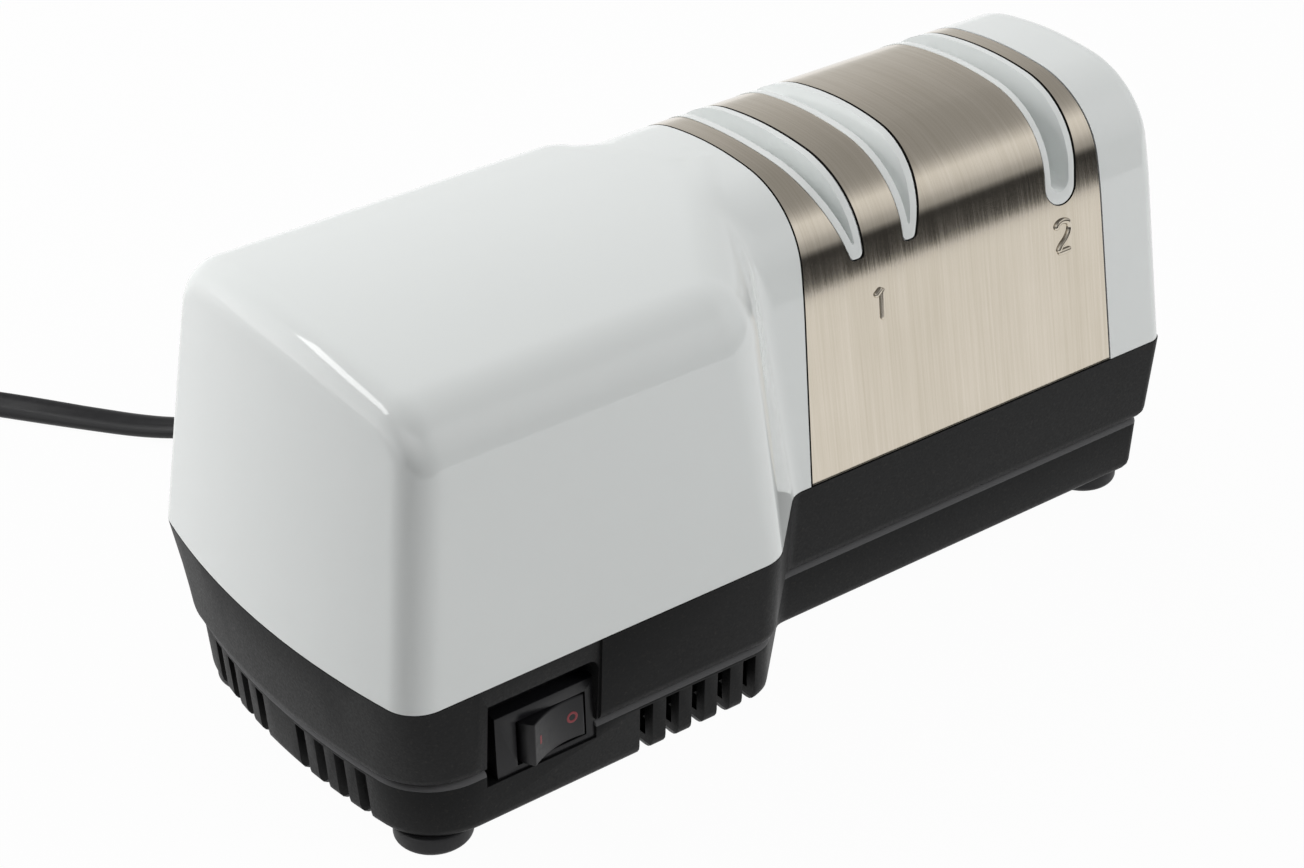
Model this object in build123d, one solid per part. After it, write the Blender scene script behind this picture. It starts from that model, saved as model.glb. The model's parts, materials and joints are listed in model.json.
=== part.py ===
from build123d import *
import os
from math import cos, pi, radians, sin, sqrt, tan

# Electric knife sharpener: a motor housing and a narrower arched sharpening section share one
# white cover, which stands on a black tub.  Millimetres, +Z up, origin bottom centre of the body,
# motor end towards -X, switch side towards -Y.

# Driving sizes of the body
overall_length = 250.0      # over the tub's rim
motor_depth = 110.0         # front to back over the motor housing
kink_depth = 20.0           # how far the sharpening section's front stands back; the backs are flush
overall_height = 117.2      # crown of the cover above the table
seam_height = 45.0          # where the cover stands on the tub
end_sag = 6.2               # bulge of the motor end in plan
kink_share = 0.506          # of the length: where the diagonal wall meets the sharpening section

# Corner radii in plan at the seam
end_corner = 17.4
outer_kink_corner = 10.0
kink_corner_growth = 8.0    # the cover's kink corners widen by this much up to the crown
inner_kink_corner = 6.0
right_corner = 4.0
corner_shrink = 0.25        # loss of corner radius for each millimetre that an outline moves in

# Tub
foot_height = 5.0
foot_radius = 9.2
tub_wall = 2.8
tub_floor = 3.0
band_top = 24.4             # the upper band leans in down to here and then rolls under
band_top_inset = 1.6
groove_high = 21.3          # shadow groove between the bands
groove_low = 20.9
groove_inset = 4.7
groove_wall = 2.0
band_bottom = 19.5          # the lower band starts below a rounded shoulder
band_bottom_inset = 3.3
bottom_inset = 3.95         # of the lower band just above the bottom edge
bottom_round = 3.05
round_steps = 4             # flats in each rounding of the tub's walls
rim_lip = 2.2               # height of the lip that keys the cover on the tub
rim_lip_wall = 1.2
fit_gap = 0.15              # clearance between pieces that are put together
vent_width = 3.7
vent_pitch = 7.48
vent_top = 18.8
vent_reach = 9.0            # how far a vent runs in under the floor
front_vents = 5
front_vent_offset = -58.55  # first vent's left edge from the kink
end_vents = 4
end_vent_gap = 14.45        # between the two groups on the motor end

# Cover
cover_wall = 2.6
end_draft = 7.7
side_draft = 4.6
motor_crown_radius = 220.0
motor_crown_y = 3.0
motor_rise = 0.1            # the motor housing's crown stands this much above the arch
shoulder_round = 17.0
kink_climb = 3.5            # how far the outer kink runs back from seam to crown
diagonal_reach = 15.0       # the diagonal wall is drawn this far past the inner kink
diagonal_turn = 14.5        # its far end moves this far left and
diagonal_push = 7.0         # this far back from seam to crown, so that the wall twists
rear_reach = 20.0           # the rear diagonal wall starts this far behind the middle of the section
rear_inner = 8.5
rear_inner_turn = 7.0
rear_kink = -1.5
rear_kink_turn = 6.0
cover_overlap = 21.5        # how far the sharpening section runs into the motor housing
arch_draft = 8.9
arch_shoulder_radius = 23.3
arch_crown_radius = 108.0
arch_end_round = 4.5
plate_thickness = 0.8
plate_left_offset = 5.4     # from the kink
plate_right_offset = 19.2   # from the right end
plate_lean = 0.072          # the plate's left edge leans to the right as it rises
plate_gap = 0.35            # shadow gap round the plate

# Knife slots of the first stage, measured outwards from the middle of the stage
stage_one_offset = 33.8     # middle of the stage from the kink
slot_inner = 6.4
slot_outer = 16.8           # at the crown
slot_tilt = 18.8
slot_depth = 20.9           # below the crown
slot_lip = 1.9              # white lip round each slot
lip_proud = 0.6             # how far the lips stand out of the plate
slot_tip_round = 1.5

# Knife slot of the second stage
stage_two_offset = 30.5     # at the crown, from the right end
u_slot_top_half = 5.4
u_slot_low_half = 4.7
u_slot_depth = 21.8         # of the middle of the rounded end below the crown
u_slot_tilt = 6.0
u_slot_lip = 1.7

# Drive shaft and motor
shaft_depth = 45.2          # below the crown
shaft_radius = 3.0
running_gap = 0.04
fan_clearance = 30.5        # shaft's left end beyond the laminations
bearing_radius = 5.5
bearing_length = 7.0
stack_offset = 48.0         # laminations' left face from the motor end
stack_length = 24.0
stack_width = 60.0
stack_rise = 24.0           # above the shaft
stack_low_share = 0.3056    # of the shaft's height: laminations' lower edge
stack_round = 6.0
window_half = 16.0
window_low_share = 0.5      # the winding's window
window_high_share = 0.6875
pole_overlap = 1.0          # the pole slit runs this far into the window
shading_inner_y = 10.0      # shading ring's bars from the shaft
shading_inner_z = 17.6
shading_outer_y = 18.4
shading_outer_z = 6.0
rotor_radius = 16.0
air_gap = 0.4
rotor_overhang = 1.5
end_ring_length = 2.5
coil_build = 7.4            # winding thickness round the leg
coil_half = 13.5            # half of the winding's length along the leg
bobbin_wall = 1.1
bobbin_flange = 1.2
bracket_standoff = 14.0
bracket_thickness = 2.5
bracket_half_height = 8.0
bracket_boss_radius = 8.0
bracket_leg_wall = 1.6
bracket_corner = 5.0
motor_screw_offset = 23.5
motor_screw_radius = 2.0
motor_screw_head = 2.6
motor_screw_head_radius = 3.6
motor_nut_radius = 3.9
motor_nut_height = 3.0
motor_screw_tail = 1.5      # beyond the nut
fan_radius = 28.0
fan_hub_radius = 8.0
fan_width = 9.5
fan_blades = 9
fan_blade_thickness = 1.4
end_bearing_offset = 21.7   # from the middle of the first stage

# Abrasive discs of the first stage, measured outwards from the middle of the stage
disc_radius = 30.0
disc_face = 8.5
disc_rim_width = 2.8
disc_rim_depth = 8.0
disc_web = 1.4
hub_radius = 7.0
hub_inner = 5.6
hub_outer = 13.0
disc_travel = 1.5
coat_thickness = 0.4
collar_half = 2.0
collar_radius = 6.5
clip_thickness = 1.0
clip_radius = 5.6
spring_radius = 4.8
spring_wire = 0.3
spring_turns = 2.5
drive_pin_radius = 1.0
stop_play = 0.1             # between a disc's hub and the clip that stops it

# Second stage wheels on a fixed, turned axle
wheel_radius = 13.0
wheel_root = 8.0
wheel_face_angle = 20.0
wheel_width = 4.0
wheel_gap = 0.15            # from each wheel to the middle of the stage
wheel_axle_radius = 2.0
wheel_yaw = 15.0
wheel_axle_depth = 33.7     # below the crown
carrier_half_length = 26.0
carrier_inner_half_length = 17.0
carrier_half_width = 12.0
carrier_inner_half_width = 8.6
carrier_depth = 29.2        # carrier's upper face below the crown
carrier_height = 11.0
carrier_screw_radius = 1.3
carrier_screw_reach = 3.5   # into the cover

# Power switch, measured along the body from its rocker
rocker_offset = 44.1        # rocker's middle from the motor end
switch_left_reach = 14.9
switch_right_reach = 11.4
switch_low = 16.5
switch_high = 33.0
switch_set_back = 4.1       # bezel's face behind the tub's rim
pocket_left_reach = 18.1
pocket_right_reach = 11.6
pocket_high = 39.5
pocket_depth = 8.0
pocket_round = 3.0
panel_left_reach = 20.6
panel_right_reach = 11.9
panel_recess = 0.6
rocker_radius = 9.8
rocker_half = 7.9
rocker_low = 18.4
rocker_high = 29.6
rocker_face_tilt = 16.4
rocker_swing = 10.9         # each way from the middle position
rocker_gap = 0.3
rocker_back = 1.5
trunnion_radius = 1.5
trunnion_length = 0.9
switch_wall = 1.3
terminal_length = 8.0
terminal_height = 6.3
terminal_thickness = 0.8
terminal_rise = 2.6         # above the rocker's lower side
terminal_clearance = 2.0    # to the laminations

# Screws that hold the cover on the tub
end_screw_offset = 13.6     # from the motor end
front_screw_offset = 18.6   # from the rocker
rear_screw_offset = 20.0    # from the cord's exit
right_screw_offset = 27.0   # from the right end
wall_screw_offset = 11.8    # from the front or back wall
post_ribs = [(-1, 0), (0, -1), (0, 1), (0, 1), (0, -1)]      # the wall that each post is webbed to
post_rib_thickness = 2.0
small_head_radius = 2.4     # heads of the small screws
small_head_height = 1.6
screw_radius = 1.6
screw_head_radius = 3.2
screw_head_height = 2.4
screw_seat_z = 32.4
screw_grip = 12.0
boss_radius = 5.2
post_radius = 4.4
post_height = 26.0
foot_left_offset = 18.7     # feet from the ends and from the front and back walls
foot_right_offset = 11.8
foot_wall_offset = 15.5
foot_peg_radius = 2.5

# Clean-out in the floor under the first stage
clean_out_offset = 0.7      # from the middle of the first stage
clean_out_length = 34.0
clean_out_width = 40.0
clean_out_ledge = 2.5
clean_out_thickness = 1.5
magnet_radius = 7.0
magnet_height = 3.0

# Mains cord
cord_diameter = 7.0
cord_exit_offset = 9.0      # from the laminations' right face
cord_exit_z = 33.0
relief_length = 30.0
relief_root_radius = 6.5
relief_tip_radius = 4.6
relief_flange_radius = 8.2
relief_flange = 1.8
inner_cord_length = 22.0
coil_centre = (-161.0, 207.0)
coil_turn_radius = 38.5     # middle of the turns
coil_rows = 3
plug_length = 34.0
plug_width = 24.0
plug_thickness = 17.0
blade_length = 16.0
blade_width = 6.3
blade_thickness = 1.5
blade_spacing = 12.7
relief_neck_radius = 5.0
relief_ribs = 7
clamp_offset = 18.0         # from the back wall
clamp_width = 7.0
clamp_half = 8.0
clamp_height = 6.0
clamp_screw_offset = 5.6
clean_out_screw_radius = 1.2
pillar_half = 11.0
pillar_plate = 3.0
pillar_foot = 13.0
shading_radius = 1.1
slit_width = 1.5
bridge = 0.8

left_x = -overall_length / 2
right_x = overall_length / 2
back_y = motor_depth / 2
motor_front_y = -motor_depth / 2
arch_depth = motor_depth - kink_depth
arch_front_y = back_y - arch_depth
arch_y = back_y - arch_depth / 2
kink_x = kink_share * overall_length + left_x
plate_left = kink_x + plate_left_offset
plate_right = right_x - plate_right_offset
stage_one_x = kink_x + stage_one_offset
stage_two_x = right_x - stage_two_offset
slot_tip = overall_height - slot_depth
u_slot_low_z = overall_height - u_slot_depth
slot_slope = tan(radians(slot_tilt))
floor_top = foot_height + tub_floor

shaft_y = arch_y
shaft_z = overall_height - shaft_depth
stack_left = left_x + stack_offset
stack_right = stack_left + stack_length
stack_top = shaft_z + stack_rise
stack_bottom = shaft_z * stack_low_share
window_low = shaft_z * window_low_share
window_high = shaft_z * window_high_share
shaft_left = stack_left - fan_clearance
end_bearing_x = stage_one_x + end_bearing_offset
shaft_right = end_bearing_x + bearing_length / 2 + 1.0
carrier_x = stage_two_x - u_slot_depth * tan(radians(u_slot_tilt))
carrier_high = overall_height - carrier_depth
carrier_low = carrier_high - carrier_height
wheel_axle_z = overall_height - wheel_axle_depth

rocker_x = left_x + rocker_offset
rocker_y = motor_front_y + pocket_depth
switch_left = rocker_x - switch_left_reach
switch_right = rocker_x + switch_right_reach
switch_face_y = motor_front_y + switch_set_back
switch_body_half = rocker_radius + rocker_gap + switch_wall
switch_body_back = shaft_y - stack_width / 2 - terminal_clearance - terminal_length
pocket_left = rocker_x - pocket_left_reach
pocket_right = rocker_x + pocket_right_reach
pocket_floor_y = motor_front_y + pocket_depth
panel_left = rocker_x - panel_left_reach
panel_right = rocker_x + panel_right_reach
front_vent_x = kink_x + front_vent_offset

clean_out_x = stage_one_x + clean_out_offset
cord_exit_x = stack_right + cord_exit_offset
clamp_y = back_y - clamp_offset
exit_seat_y = back_y - 2.0
exit_inside_y = exit_seat_y - 3.0
exit_boss_radius = relief_flange_radius + 1.2
cover_reach = 12.0           # longer than any gap between a post and its wall
screw_places = [
    (left_x + end_screw_offset, 0.0),
    (rocker_x + front_screw_offset, motor_front_y + wall_screw_offset + 0.7),
    (cord_exit_x + rear_screw_offset, back_y - wall_screw_offset),
    (right_x - right_screw_offset, back_y - wall_screw_offset),
    (right_x - right_screw_offset, arch_front_y + wall_screw_offset),
]
foot_places = [
    (left_x + foot_left_offset, back_y - foot_wall_offset),
    (left_x + foot_left_offset, motor_front_y + foot_wall_offset),
    (right_x - foot_right_offset, arch_front_y + foot_wall_offset),
    (right_x - foot_right_offset, back_y - foot_wall_offset),
]

# The lead lies on the table from the strain relief to the put-away coil; the tail hugs the coil
lead_route = [
    (cord_exit_x, exit_seat_y + relief_length, cord_exit_z),
    (cord_exit_x, exit_seat_y + relief_length + 15.0, cord_exit_z),
    (-46.0, 116.0, 27.0),
    (-51.0, 130.5, 15.0),
    (-59.5, 143.0, 6.0),
    (-70.5, 156.5, 3.5),
    (-85.0, 176.0, 3.5),
    (-97.5, 193.0, 3.5),
    (-110.0, 209.0, 3.5),
    (-120.5, 226.0, 3.5),
    (-128.5, 238.0, 3.5),
]
tail_route = [
    (-133.0, 238.5, 9.6),
    (-144.0, 249.5, 9.0),
    (-158.5, 256.5, 6.0),
    (-179.0, 258.5, 3.6),
    (-198.5, 250.0, 4.6),
    (-211.5, 235.5, 8.5),
    (-218.5, 219.5, 8.5),
]

parts = {}


def keep(name, shape):
    parts[name] = shape


def box(low, high):
    """A block between two opposite corners."""
    size = [b - a for a, b in zip(low, high)]
    middle = [(a + b) / 2 for a, b in zip(low, high)]
    return Pos(*middle) * Box(*size)


def rod(start, end, radius):
    """A round bar between two points."""
    axis = Vector(*end) - Vector(*start)
    plane = Plane(origin=start, z_dir=axis)
    return extrude(plane * Circle(radius), axis.length)


def prism_y(face, low_y, high_y):
    """A face drawn as (x, z) carried along Y."""
    plane = Plane(origin=(0, high_y, 0), x_dir=(1, 0, 0), z_dir=(0, -1, 0))
    return extrude(plane * face, high_y - low_y)


def prism_x(face, low_x, high_x):
    """A face drawn as (y, z) carried along X."""
    plane = Plane(origin=(low_x, 0, 0), x_dir=(0, 1, 0), z_dir=(1, 0, 0))
    return extrude(plane * face, high_x - low_x)


def turned(points, centre, direction):
    """A profile of (distance along the axis, radius) points turned about an axis."""
    across = Vector(0, 1, 0) if direction[2] else Vector(0, 0, 1)
    plane = Plane(origin=centre, x_dir=direction, z_dir=Vector(*direction).cross(across))
    profile = plane * make_face(Polyline(*points, close=True))
    return revolve(profile, Axis(centre, direction))


def round_corners(face, corners):
    """Round the corners of a flat outline; each corner is (x, y, radius)."""
    for x, y, radius in corners:
        vertex = face.vertices().sort_by_distance((x, y, 0))[0]
        face = fillet(vertex, radius)
    return face


# ---------------------------------------------------------------- outlines

def tub_outline(inset, height):
    """Plan outline of the tub, moved in by inset."""
    left = left_x + end_sag + inset
    right = right_x - inset
    back = back_y - inset
    front = motor_front_y + inset
    arch_front = arch_front_y + inset
    slide = inset * tan(radians(22.5))
    outer_kink = (kink_x - slide - kink_depth, front)
    inner_kink = (kink_x - slide, arch_front)
    walls = Polyline((left, front), outer_kink, inner_kink, (right, arch_front), (right, back), (left, back))
    end = ThreePointArc((left, back), (left - end_sag, 0), (left, front))
    loss = corner_shrink * inset
    corners = [(left, back, end_corner - loss), (left, front, end_corner - loss)]
    corners += [(*outer_kink, outer_kink_corner - loss), (*inner_kink, inner_kink_corner + loss)]
    corners += [(right, arch_front, right_corner - loss), (right, back, right_corner - loss)]
    return Pos(0, 0, height) * round_corners(make_face(walls + end), corners)


def motor_outline(inset, height):
    """Plan outline of the motor housing at a height: the walls lean in, the diagonal wall twists."""
    rise = height - seam_height
    left = left_x + end_sag + inset + rise * tan(radians(end_draft))
    side = inset + rise * tan(radians(side_draft))
    back = back_y - side
    front = motor_front_y + side
    share = rise / (overall_height - seam_height)
    slide = inset * tan(radians(22.5))
    outer_kink = (kink_x - kink_depth - slide - kink_climb * share, front)
    inner_end = (kink_x + diagonal_reach - slide - diagonal_turn * share,
                 arch_front_y + diagonal_reach + diagonal_push * share + inset)
    back_inner = (kink_x + rear_inner - rear_inner_turn * share - slide, arch_y + rear_reach)
    back_kink = (kink_x + rear_kink - rear_kink_turn * share - slide, back)
    walls = Polyline((left, front), outer_kink, inner_end, back_inner, back_kink, (left, back))
    end = ThreePointArc((left, back), (left - end_sag, 0), (left, front))
    loss = corner_shrink * (inset + side)
    kink_corner = outer_kink_corner + kink_corner_growth * share - corner_shrink * inset
    corners = [(left, back, end_corner - loss), (left, front, end_corner - loss)]
    corners += [(*outer_kink, kink_corner), (*back_kink, kink_corner)]
    return Pos(0, 0, height) * round_corners(make_face(walls + end), corners)


def motor_block(inset, low):
    """The motor housing's outer form, moved in by inset: leaning walls under a shallow crown."""
    high = overall_height + motor_rise + 2.0
    walls = loft([motor_outline(inset, low), motor_outline(inset, high)], ruled=True)
    radius = motor_crown_radius - inset
    crown = Pos(motor_crown_y, overall_height + motor_rise - inset - radius) * Circle(radius)
    crown = prism_x(crown, -overall_length, overall_length)
    block = walls & crown
    loops = block.edges().filter_by(lambda e: e.center().Z > shaft_z)
    rim = loops.filter_by(lambda e: e.bounding_box().size.Z < shoulder_round)
    rim = rim.filter_by(lambda e: e.center().X < kink_x or abs(e.center().Y) > arch_depth)
    return fillet(rim, shoulder_round - inset)


def arch_section(inset, low):
    """Front-to-back section of the sharpening section as a face drawn in (y, z)."""
    slope = tan(radians(arch_draft))
    half = arch_depth / 2 - inset / cos(radians(arch_draft))
    radius = arch_crown_radius - inset
    middle = overall_height - inset - radius
    drop = seam_height - middle
    run = drop - half * slope
    rest = half ** 2 + drop ** 2 - radius ** 2
    rise = (sqrt(run ** 2 - (1 + slope ** 2) * rest) - run) / (1 + slope ** 2)
    apex = (half - rise * slope, seam_height + rise)
    foot = (half + (seam_height - low) * slope, low)
    walls = Polyline((-apex[0], apex[1]), (-foot[0], foot[1]), foot, apex)
    crown = ThreePointArc(apex, (0, overall_height - inset), (-apex[0], apex[1]))
    corners = [(-apex[0], apex[1], arch_shoulder_radius - inset)]
    corners += [(apex[0], apex[1], arch_shoulder_radius - inset)]
    return Pos(arch_y, 0) * round_corners(make_face(walls + crown), corners)


def arch_block(inset, low, left, right):
    return prism_x(arch_section(inset, low), left, right)


def lean_band(left, right, low):
    """The plate's place along X, as a face in (x, z): its left edge leans."""
    top = overall_height + 5.0
    foot = (left - (seam_height - low) * plate_lean, low)
    head = (left + (top - seam_height) * plate_lean, top)
    return make_face(Polyline(foot, (right, low), (right, top), head, close=True))


def v_slot(shrink):
    """A first-stage slot as a face in (x, z), measured outwards from the middle of the stage."""
    top = overall_height + 4.0
    bottom = slot_tip + shrink
    inner = slot_inner + shrink
    low_outer = slot_outer - shrink / cos(radians(slot_tilt)) - (overall_height - bottom) * slot_slope
    high_outer = low_outer + (top - bottom) * slot_slope
    face = make_face(Polyline((inner, bottom), (low_outer, bottom), (high_outer, top), (inner, top), close=True))
    width = low_outer - inner
    corner = min(slot_tip_round, 0.4 * width)
    return round_corners(face, [(inner, bottom, corner), (low_outer, bottom, corner)])


def u_slot(shrink):
    """The second-stage slot as a face in (x, z)."""
    top = overall_height + 4.0 - u_slot_low_z
    low = u_slot_low_half - shrink
    high = u_slot_top_half - shrink + 4.0 * (u_slot_top_half - u_slot_low_half) / (overall_height - u_slot_low_z)
    walls = Polyline((low, 0), (high, top), (-high, top), (-low, 0))
    face = make_face(walls + ThreePointArc((-low, 0), (0, -low), (low, 0)))
    lean = (overall_height - u_slot_low_z) * tan(radians(u_slot_tilt))
    return Pos(stage_two_x - lean, u_slot_low_z) * Rot(0, 0, -u_slot_tilt) * face


def slots(shrink):
    """All three slots as bars along Y."""
    face = v_slot(shrink)
    low_y = arch_y - arch_depth
    high_y = arch_y + arch_depth
    right = Pos(stage_one_x, 0, 0) * prism_y(face, low_y, high_y)
    left = mirror(right, Plane(origin=(stage_one_x, 0, 0), z_dir=(1, 0, 0)))
    return [left, right, prism_y(u_slot(shrink), low_y, high_y)]


# ---------------------------------------------------------------- cover and plate

def screw_post_holes():
    holes = []
    for x, y in screw_places:
        holes.append(rod((x, y, seam_height - 1), (x, y, seam_height + screw_grip), screw_radius))
    return holes


def make_cover():
    low = seam_height
    arch = arch_block(0, low, kink_x - cover_overlap, right_x)
    end_face = arch.faces().sort_by(Axis.X)[-1]
    arch = fillet(end_face.edges().filter_by(lambda e: e.center().Z > low + 0.1), arch_end_round)
    outer = motor_block(0, low) + arch
    hollow_end = right_x - cover_wall
    hollow = arch_block(cover_wall + plate_thickness, low - 1, kink_x - cover_overlap, hollow_end)
    hollow = motor_block(cover_wall, low - 1) + hollow
    cover = outer - hollow
    for (x, y), (way_x, way_y) in zip(screw_places, post_ribs):
        post = rod((x, y, low), (x, y, low + post_height), post_radius)
        half = post_rib_thickness / 2
        near = (x - half + min(way_x, 0) * cover_reach, y - half + min(way_y, 0) * cover_reach, low)
        far = (x + half + max(way_x, 0) * cover_reach, y + half + max(way_y, 0) * cover_reach, low + post_height)
        cover = cover + (post & outer) + (box(near, far) & outer)
    seat = prism_y(lean_band(plate_left, plate_right, low - 1), -overall_length, overall_length)
    skin = arch_block(-5, low - 1, 0, right_x) - arch_block(plate_thickness, low - 2, -1, right_x)
    cover = cover - (skin & seat)
    proud = arch_block(-lip_proud, low, 0, right_x)
    for trough in slots(0):
        cover = cover + (trough & proud)
    pads = []
    for side in (-1, 1):
        near = arch_y + side * (carrier_inner_half_length + 1.5)
        far = arch_y + side * carrier_half_length
        pads.append(box((carrier_x - carrier_inner_half_width, min(near, far), carrier_high),
                        (carrier_x + carrier_inner_half_width, max(near, far), u_slot_low_z)))
    for pad in pads:
        cover = cover + pad
    for gap in slots(slot_lip)[:2] + slots(u_slot_lip)[2:]:
        cover = cover - gap
    windows = rod((stage_one_x - disc_face - 1.5, shaft_y, shaft_z),
                  (stage_one_x + disc_face + 1.5, shaft_y, shaft_z), disc_radius + 1.0)
    cover = cover - windows
    wheel_room = box((carrier_x - carrier_inner_half_width, arch_y - wheel_radius - 1.5, carrier_low),
                     (carrier_x + carrier_inner_half_width, arch_y + wheel_radius + 1.5,
                      wheel_axle_z + wheel_radius + 0.8))
    cover = cover - wheel_room
    for hole in screw_post_holes():
        cover = cover - hole
    for hole in carrier_screw_rods():
        cover = cover - hole
    return cover


def make_plate():
    low = seam_height + plate_gap
    shell = arch_block(0, low, 0, right_x) - arch_block(plate_thickness, low - 1, -1, overall_length)
    place = lean_band(plate_left + plate_gap, plate_right - plate_gap, low)
    plate = shell & prism_y(place, -overall_length, overall_length)
    for window in slots(-fit_gap):
        plate = plate - window
    return plate


# ---------------------------------------------------------------- tub

def end_vent_lows():
    """The lower Y edge of every vent on the motor end."""
    lows = []
    for k in range(end_vents):
        near = end_vent_gap / 2 + k * vent_pitch
        lows += [near, -near - vent_width]
    return lows


def vents():
    cuts = []
    depth = bottom_inset + vent_reach
    for k in range(front_vents):
        x = front_vent_x + k * vent_pitch
        cuts.append(box((x, motor_front_y - 1, -1), (x + vent_width, motor_front_y + depth, vent_top)))
    for y in end_vent_lows():
        cuts.append(box((left_x - 1, y, -1), (left_x + depth, y + vent_width, vent_top)))
    return cuts


def switch_panel():
    """What the flush panel takes off the front of the tub: the step fades out into one plane."""
    rim = (motor_front_y + panel_recess, seam_height)
    step = (motor_front_y + band_bottom_inset, band_bottom)
    wedge = make_face(Polyline(rim, step, (motor_front_y - 5, band_bottom), (motor_front_y - 5, seam_height), close=True))
    return prism_x(wedge, panel_left, panel_right)


def switch_backing():
    """Closes the groove behind the flush panel."""
    rim = (motor_front_y + panel_recess, seam_height)
    step = (motor_front_y + band_bottom_inset, band_bottom)
    behind = motor_front_y + groove_inset + groove_wall
    return prism_x(make_face(Polyline(rim, step, (behind, band_bottom), (behind, band_top + groove_wall), close=True)),
                   panel_left, panel_right)


def quarter(start, finish, steep_first):
    """Points of a quarter ellipse between two (inset, height) points."""
    points = []
    for k in range(round_steps + 1):
        turn = radians(90 * k / round_steps)
        along = (1 - cos(turn), sin(turn)) if steep_first else (sin(turn), 1 - cos(turn))
        points.append(tuple(a + (b - a) * part for a, b, part in zip(start, finish, along)))
    return points


def switch_pocket():
    face = make_face(Polyline((pocket_left, switch_low), (pocket_right, switch_low), (pocket_right, pocket_high),
                              (pocket_left, pocket_high), close=True))
    face = round_corners(face, [(pocket_right, pocket_high, pocket_round)])
    return prism_y(face, motor_front_y - 5, pocket_floor_y)


def make_tub():
    bottom = foot_height
    heights = quarter((bottom_inset + bottom_round, bottom), (bottom_inset, bottom + bottom_round), False)
    heights += quarter((band_bottom_inset, band_bottom), (groove_inset, groove_low), True)
    heights += quarter((groove_inset, groove_high), (band_top_inset, band_top), False)
    heights.append((0, seam_height))
    outer = loft([tub_outline(inset, z) for inset, z in heights], ruled=True)
    inner = [(bottom_inset + tub_wall, floor_top), (groove_inset + groove_wall, groove_high)]
    inner += [(band_top_inset + tub_wall, band_top + groove_wall), (tub_wall, seam_height)]
    hollow = loft([tub_outline(inset, z) for inset, z in inner], ruled=True)
    solids = []
    for x, y in screw_places:
        solids.append(rod((x, y, bottom), (x, y, seam_height), boss_radius))
    solids.append(box((pocket_left - tub_wall, motor_front_y, floor_top - 0.5),
                      (pocket_right + tub_wall, pocket_floor_y + tub_wall, pocket_high + tub_wall)))
    solids.append(switch_backing())
    solids.append(rod((cord_exit_x, exit_inside_y, cord_exit_z), (cord_exit_x, back_y, cord_exit_z), exit_boss_radius))
    for side in (-1, 1):
        y = shaft_y + side * (stack_width / 2 + window_half) / 2
        width = (stack_width / 2 - window_half) / 2 - 1
        solids.append(box((stack_left, y - width, floor_top - 0.5), (stack_right, y + width, stack_bottom)))
    for x in (clean_out_x - clean_out_length / 2 + 3.0, clean_out_x + clean_out_length / 2 - 3.0):
        solids.append(rod((x, shaft_y, floor_top - 0.5), (x, shaft_y, floor_top + 5.0), 3.0))
    solids.append(box((cord_exit_x - clamp_half, clamp_y - clamp_width / 2, floor_top - 0.5),
                      (cord_exit_x + clamp_half, clamp_y + clamp_width / 2, cord_exit_z)))
    tub = outer - hollow
    for solid in solids:
        tub = tub + (solid & outer)
    lip_inset = (cover_wall + plate_thickness) / cos(radians(arch_draft))
    lip_inset += rim_lip * tan(radians(arch_draft)) + fit_gap
    lip = extrude(tub_outline(lip_inset, seam_height - 3.0), 3.0 + rim_lip)
    lip = lip - extrude(tub_outline(lip_inset + rim_lip_wall, seam_height - 4.0), 5.0 + rim_lip)
    gate = post_radius + fit_gap
    for (x, y), (way_x, way_y) in zip(screw_places, post_ribs):
        half_x = gate + abs(way_x) * cover_reach
        half_y = gate + abs(way_y) * cover_reach
        lip = lip - box((x - half_x, y - half_y, seam_height), (x + half_x, y + half_y, seam_height + 2 * rim_lip))
    tub = tub + lip
    cuts = vents() + [switch_panel(), switch_pocket()]
    half = switch_body_half + fit_gap
    cuts.append(box((rocker_x - half, pocket_floor_y - 1, rocker_low - switch_wall - rocker_gap - fit_gap),
                    (rocker_x + half, pocket_floor_y + 10, rocker_high + switch_wall + rocker_gap + fit_gap)))
    for x, y in screw_places:
        cuts.append(rod((x, y, 0), (x, y, screw_seat_z), screw_head_radius + 0.5))
        cuts.append(rod((x, y, 0), (x, y, seam_height + 1), screw_radius + 0.3))
    for x, y in foot_places:
        cuts.append(rod((x, y, 0), (x, y, floor_top + 1), foot_peg_radius + fit_gap))
    cuts.append(rod((cord_exit_x, exit_seat_y, cord_exit_z), (cord_exit_x, back_y + 5, cord_exit_z),
                    relief_flange_radius + fit_gap))
    cuts.append(rod((cord_exit_x, exit_inside_y - 5, cord_exit_z), (cord_exit_x, back_y, cord_exit_z),
                    relief_neck_radius + fit_gap))
    cuts.append(clean_out_block(0, 0, clean_out_thickness))
    cuts.append(clean_out_block(-clean_out_ledge, 0, tub_floor + 1) - clean_out_screw_bosses())
    cuts += clean_out_screw_rods()
    cuts.append(rod((cord_exit_x, clamp_y - clamp_width, cord_exit_z), (cord_exit_x, clamp_y + clamp_width, cord_exit_z),
                    cord_diameter / 2))
    cuts += clamp_screw_rods()
    cuts += pillar_screw_rods()
    for cut in cuts:
        tub = tub - cut
    return tub


def clean_out_block(grow, low, high):
    half_x = clean_out_length / 2 + grow
    half_y = clean_out_width / 2 + grow
    return box((clean_out_x - half_x, shaft_y - half_y, foot_height + low),
               (clean_out_x + half_x, shaft_y + half_y, foot_height + high))


def clean_out_screw_places():
    return [clean_out_x - clean_out_length / 2 + 3.0, clean_out_x + clean_out_length / 2 - 3.0]


def clean_out_screw_bosses():
    bosses = [rod((x, shaft_y, foot_height), (x, shaft_y, floor_top + 5.0), 3.0) for x in clean_out_screw_places()]
    return bosses[0] + bosses[1]


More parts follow.
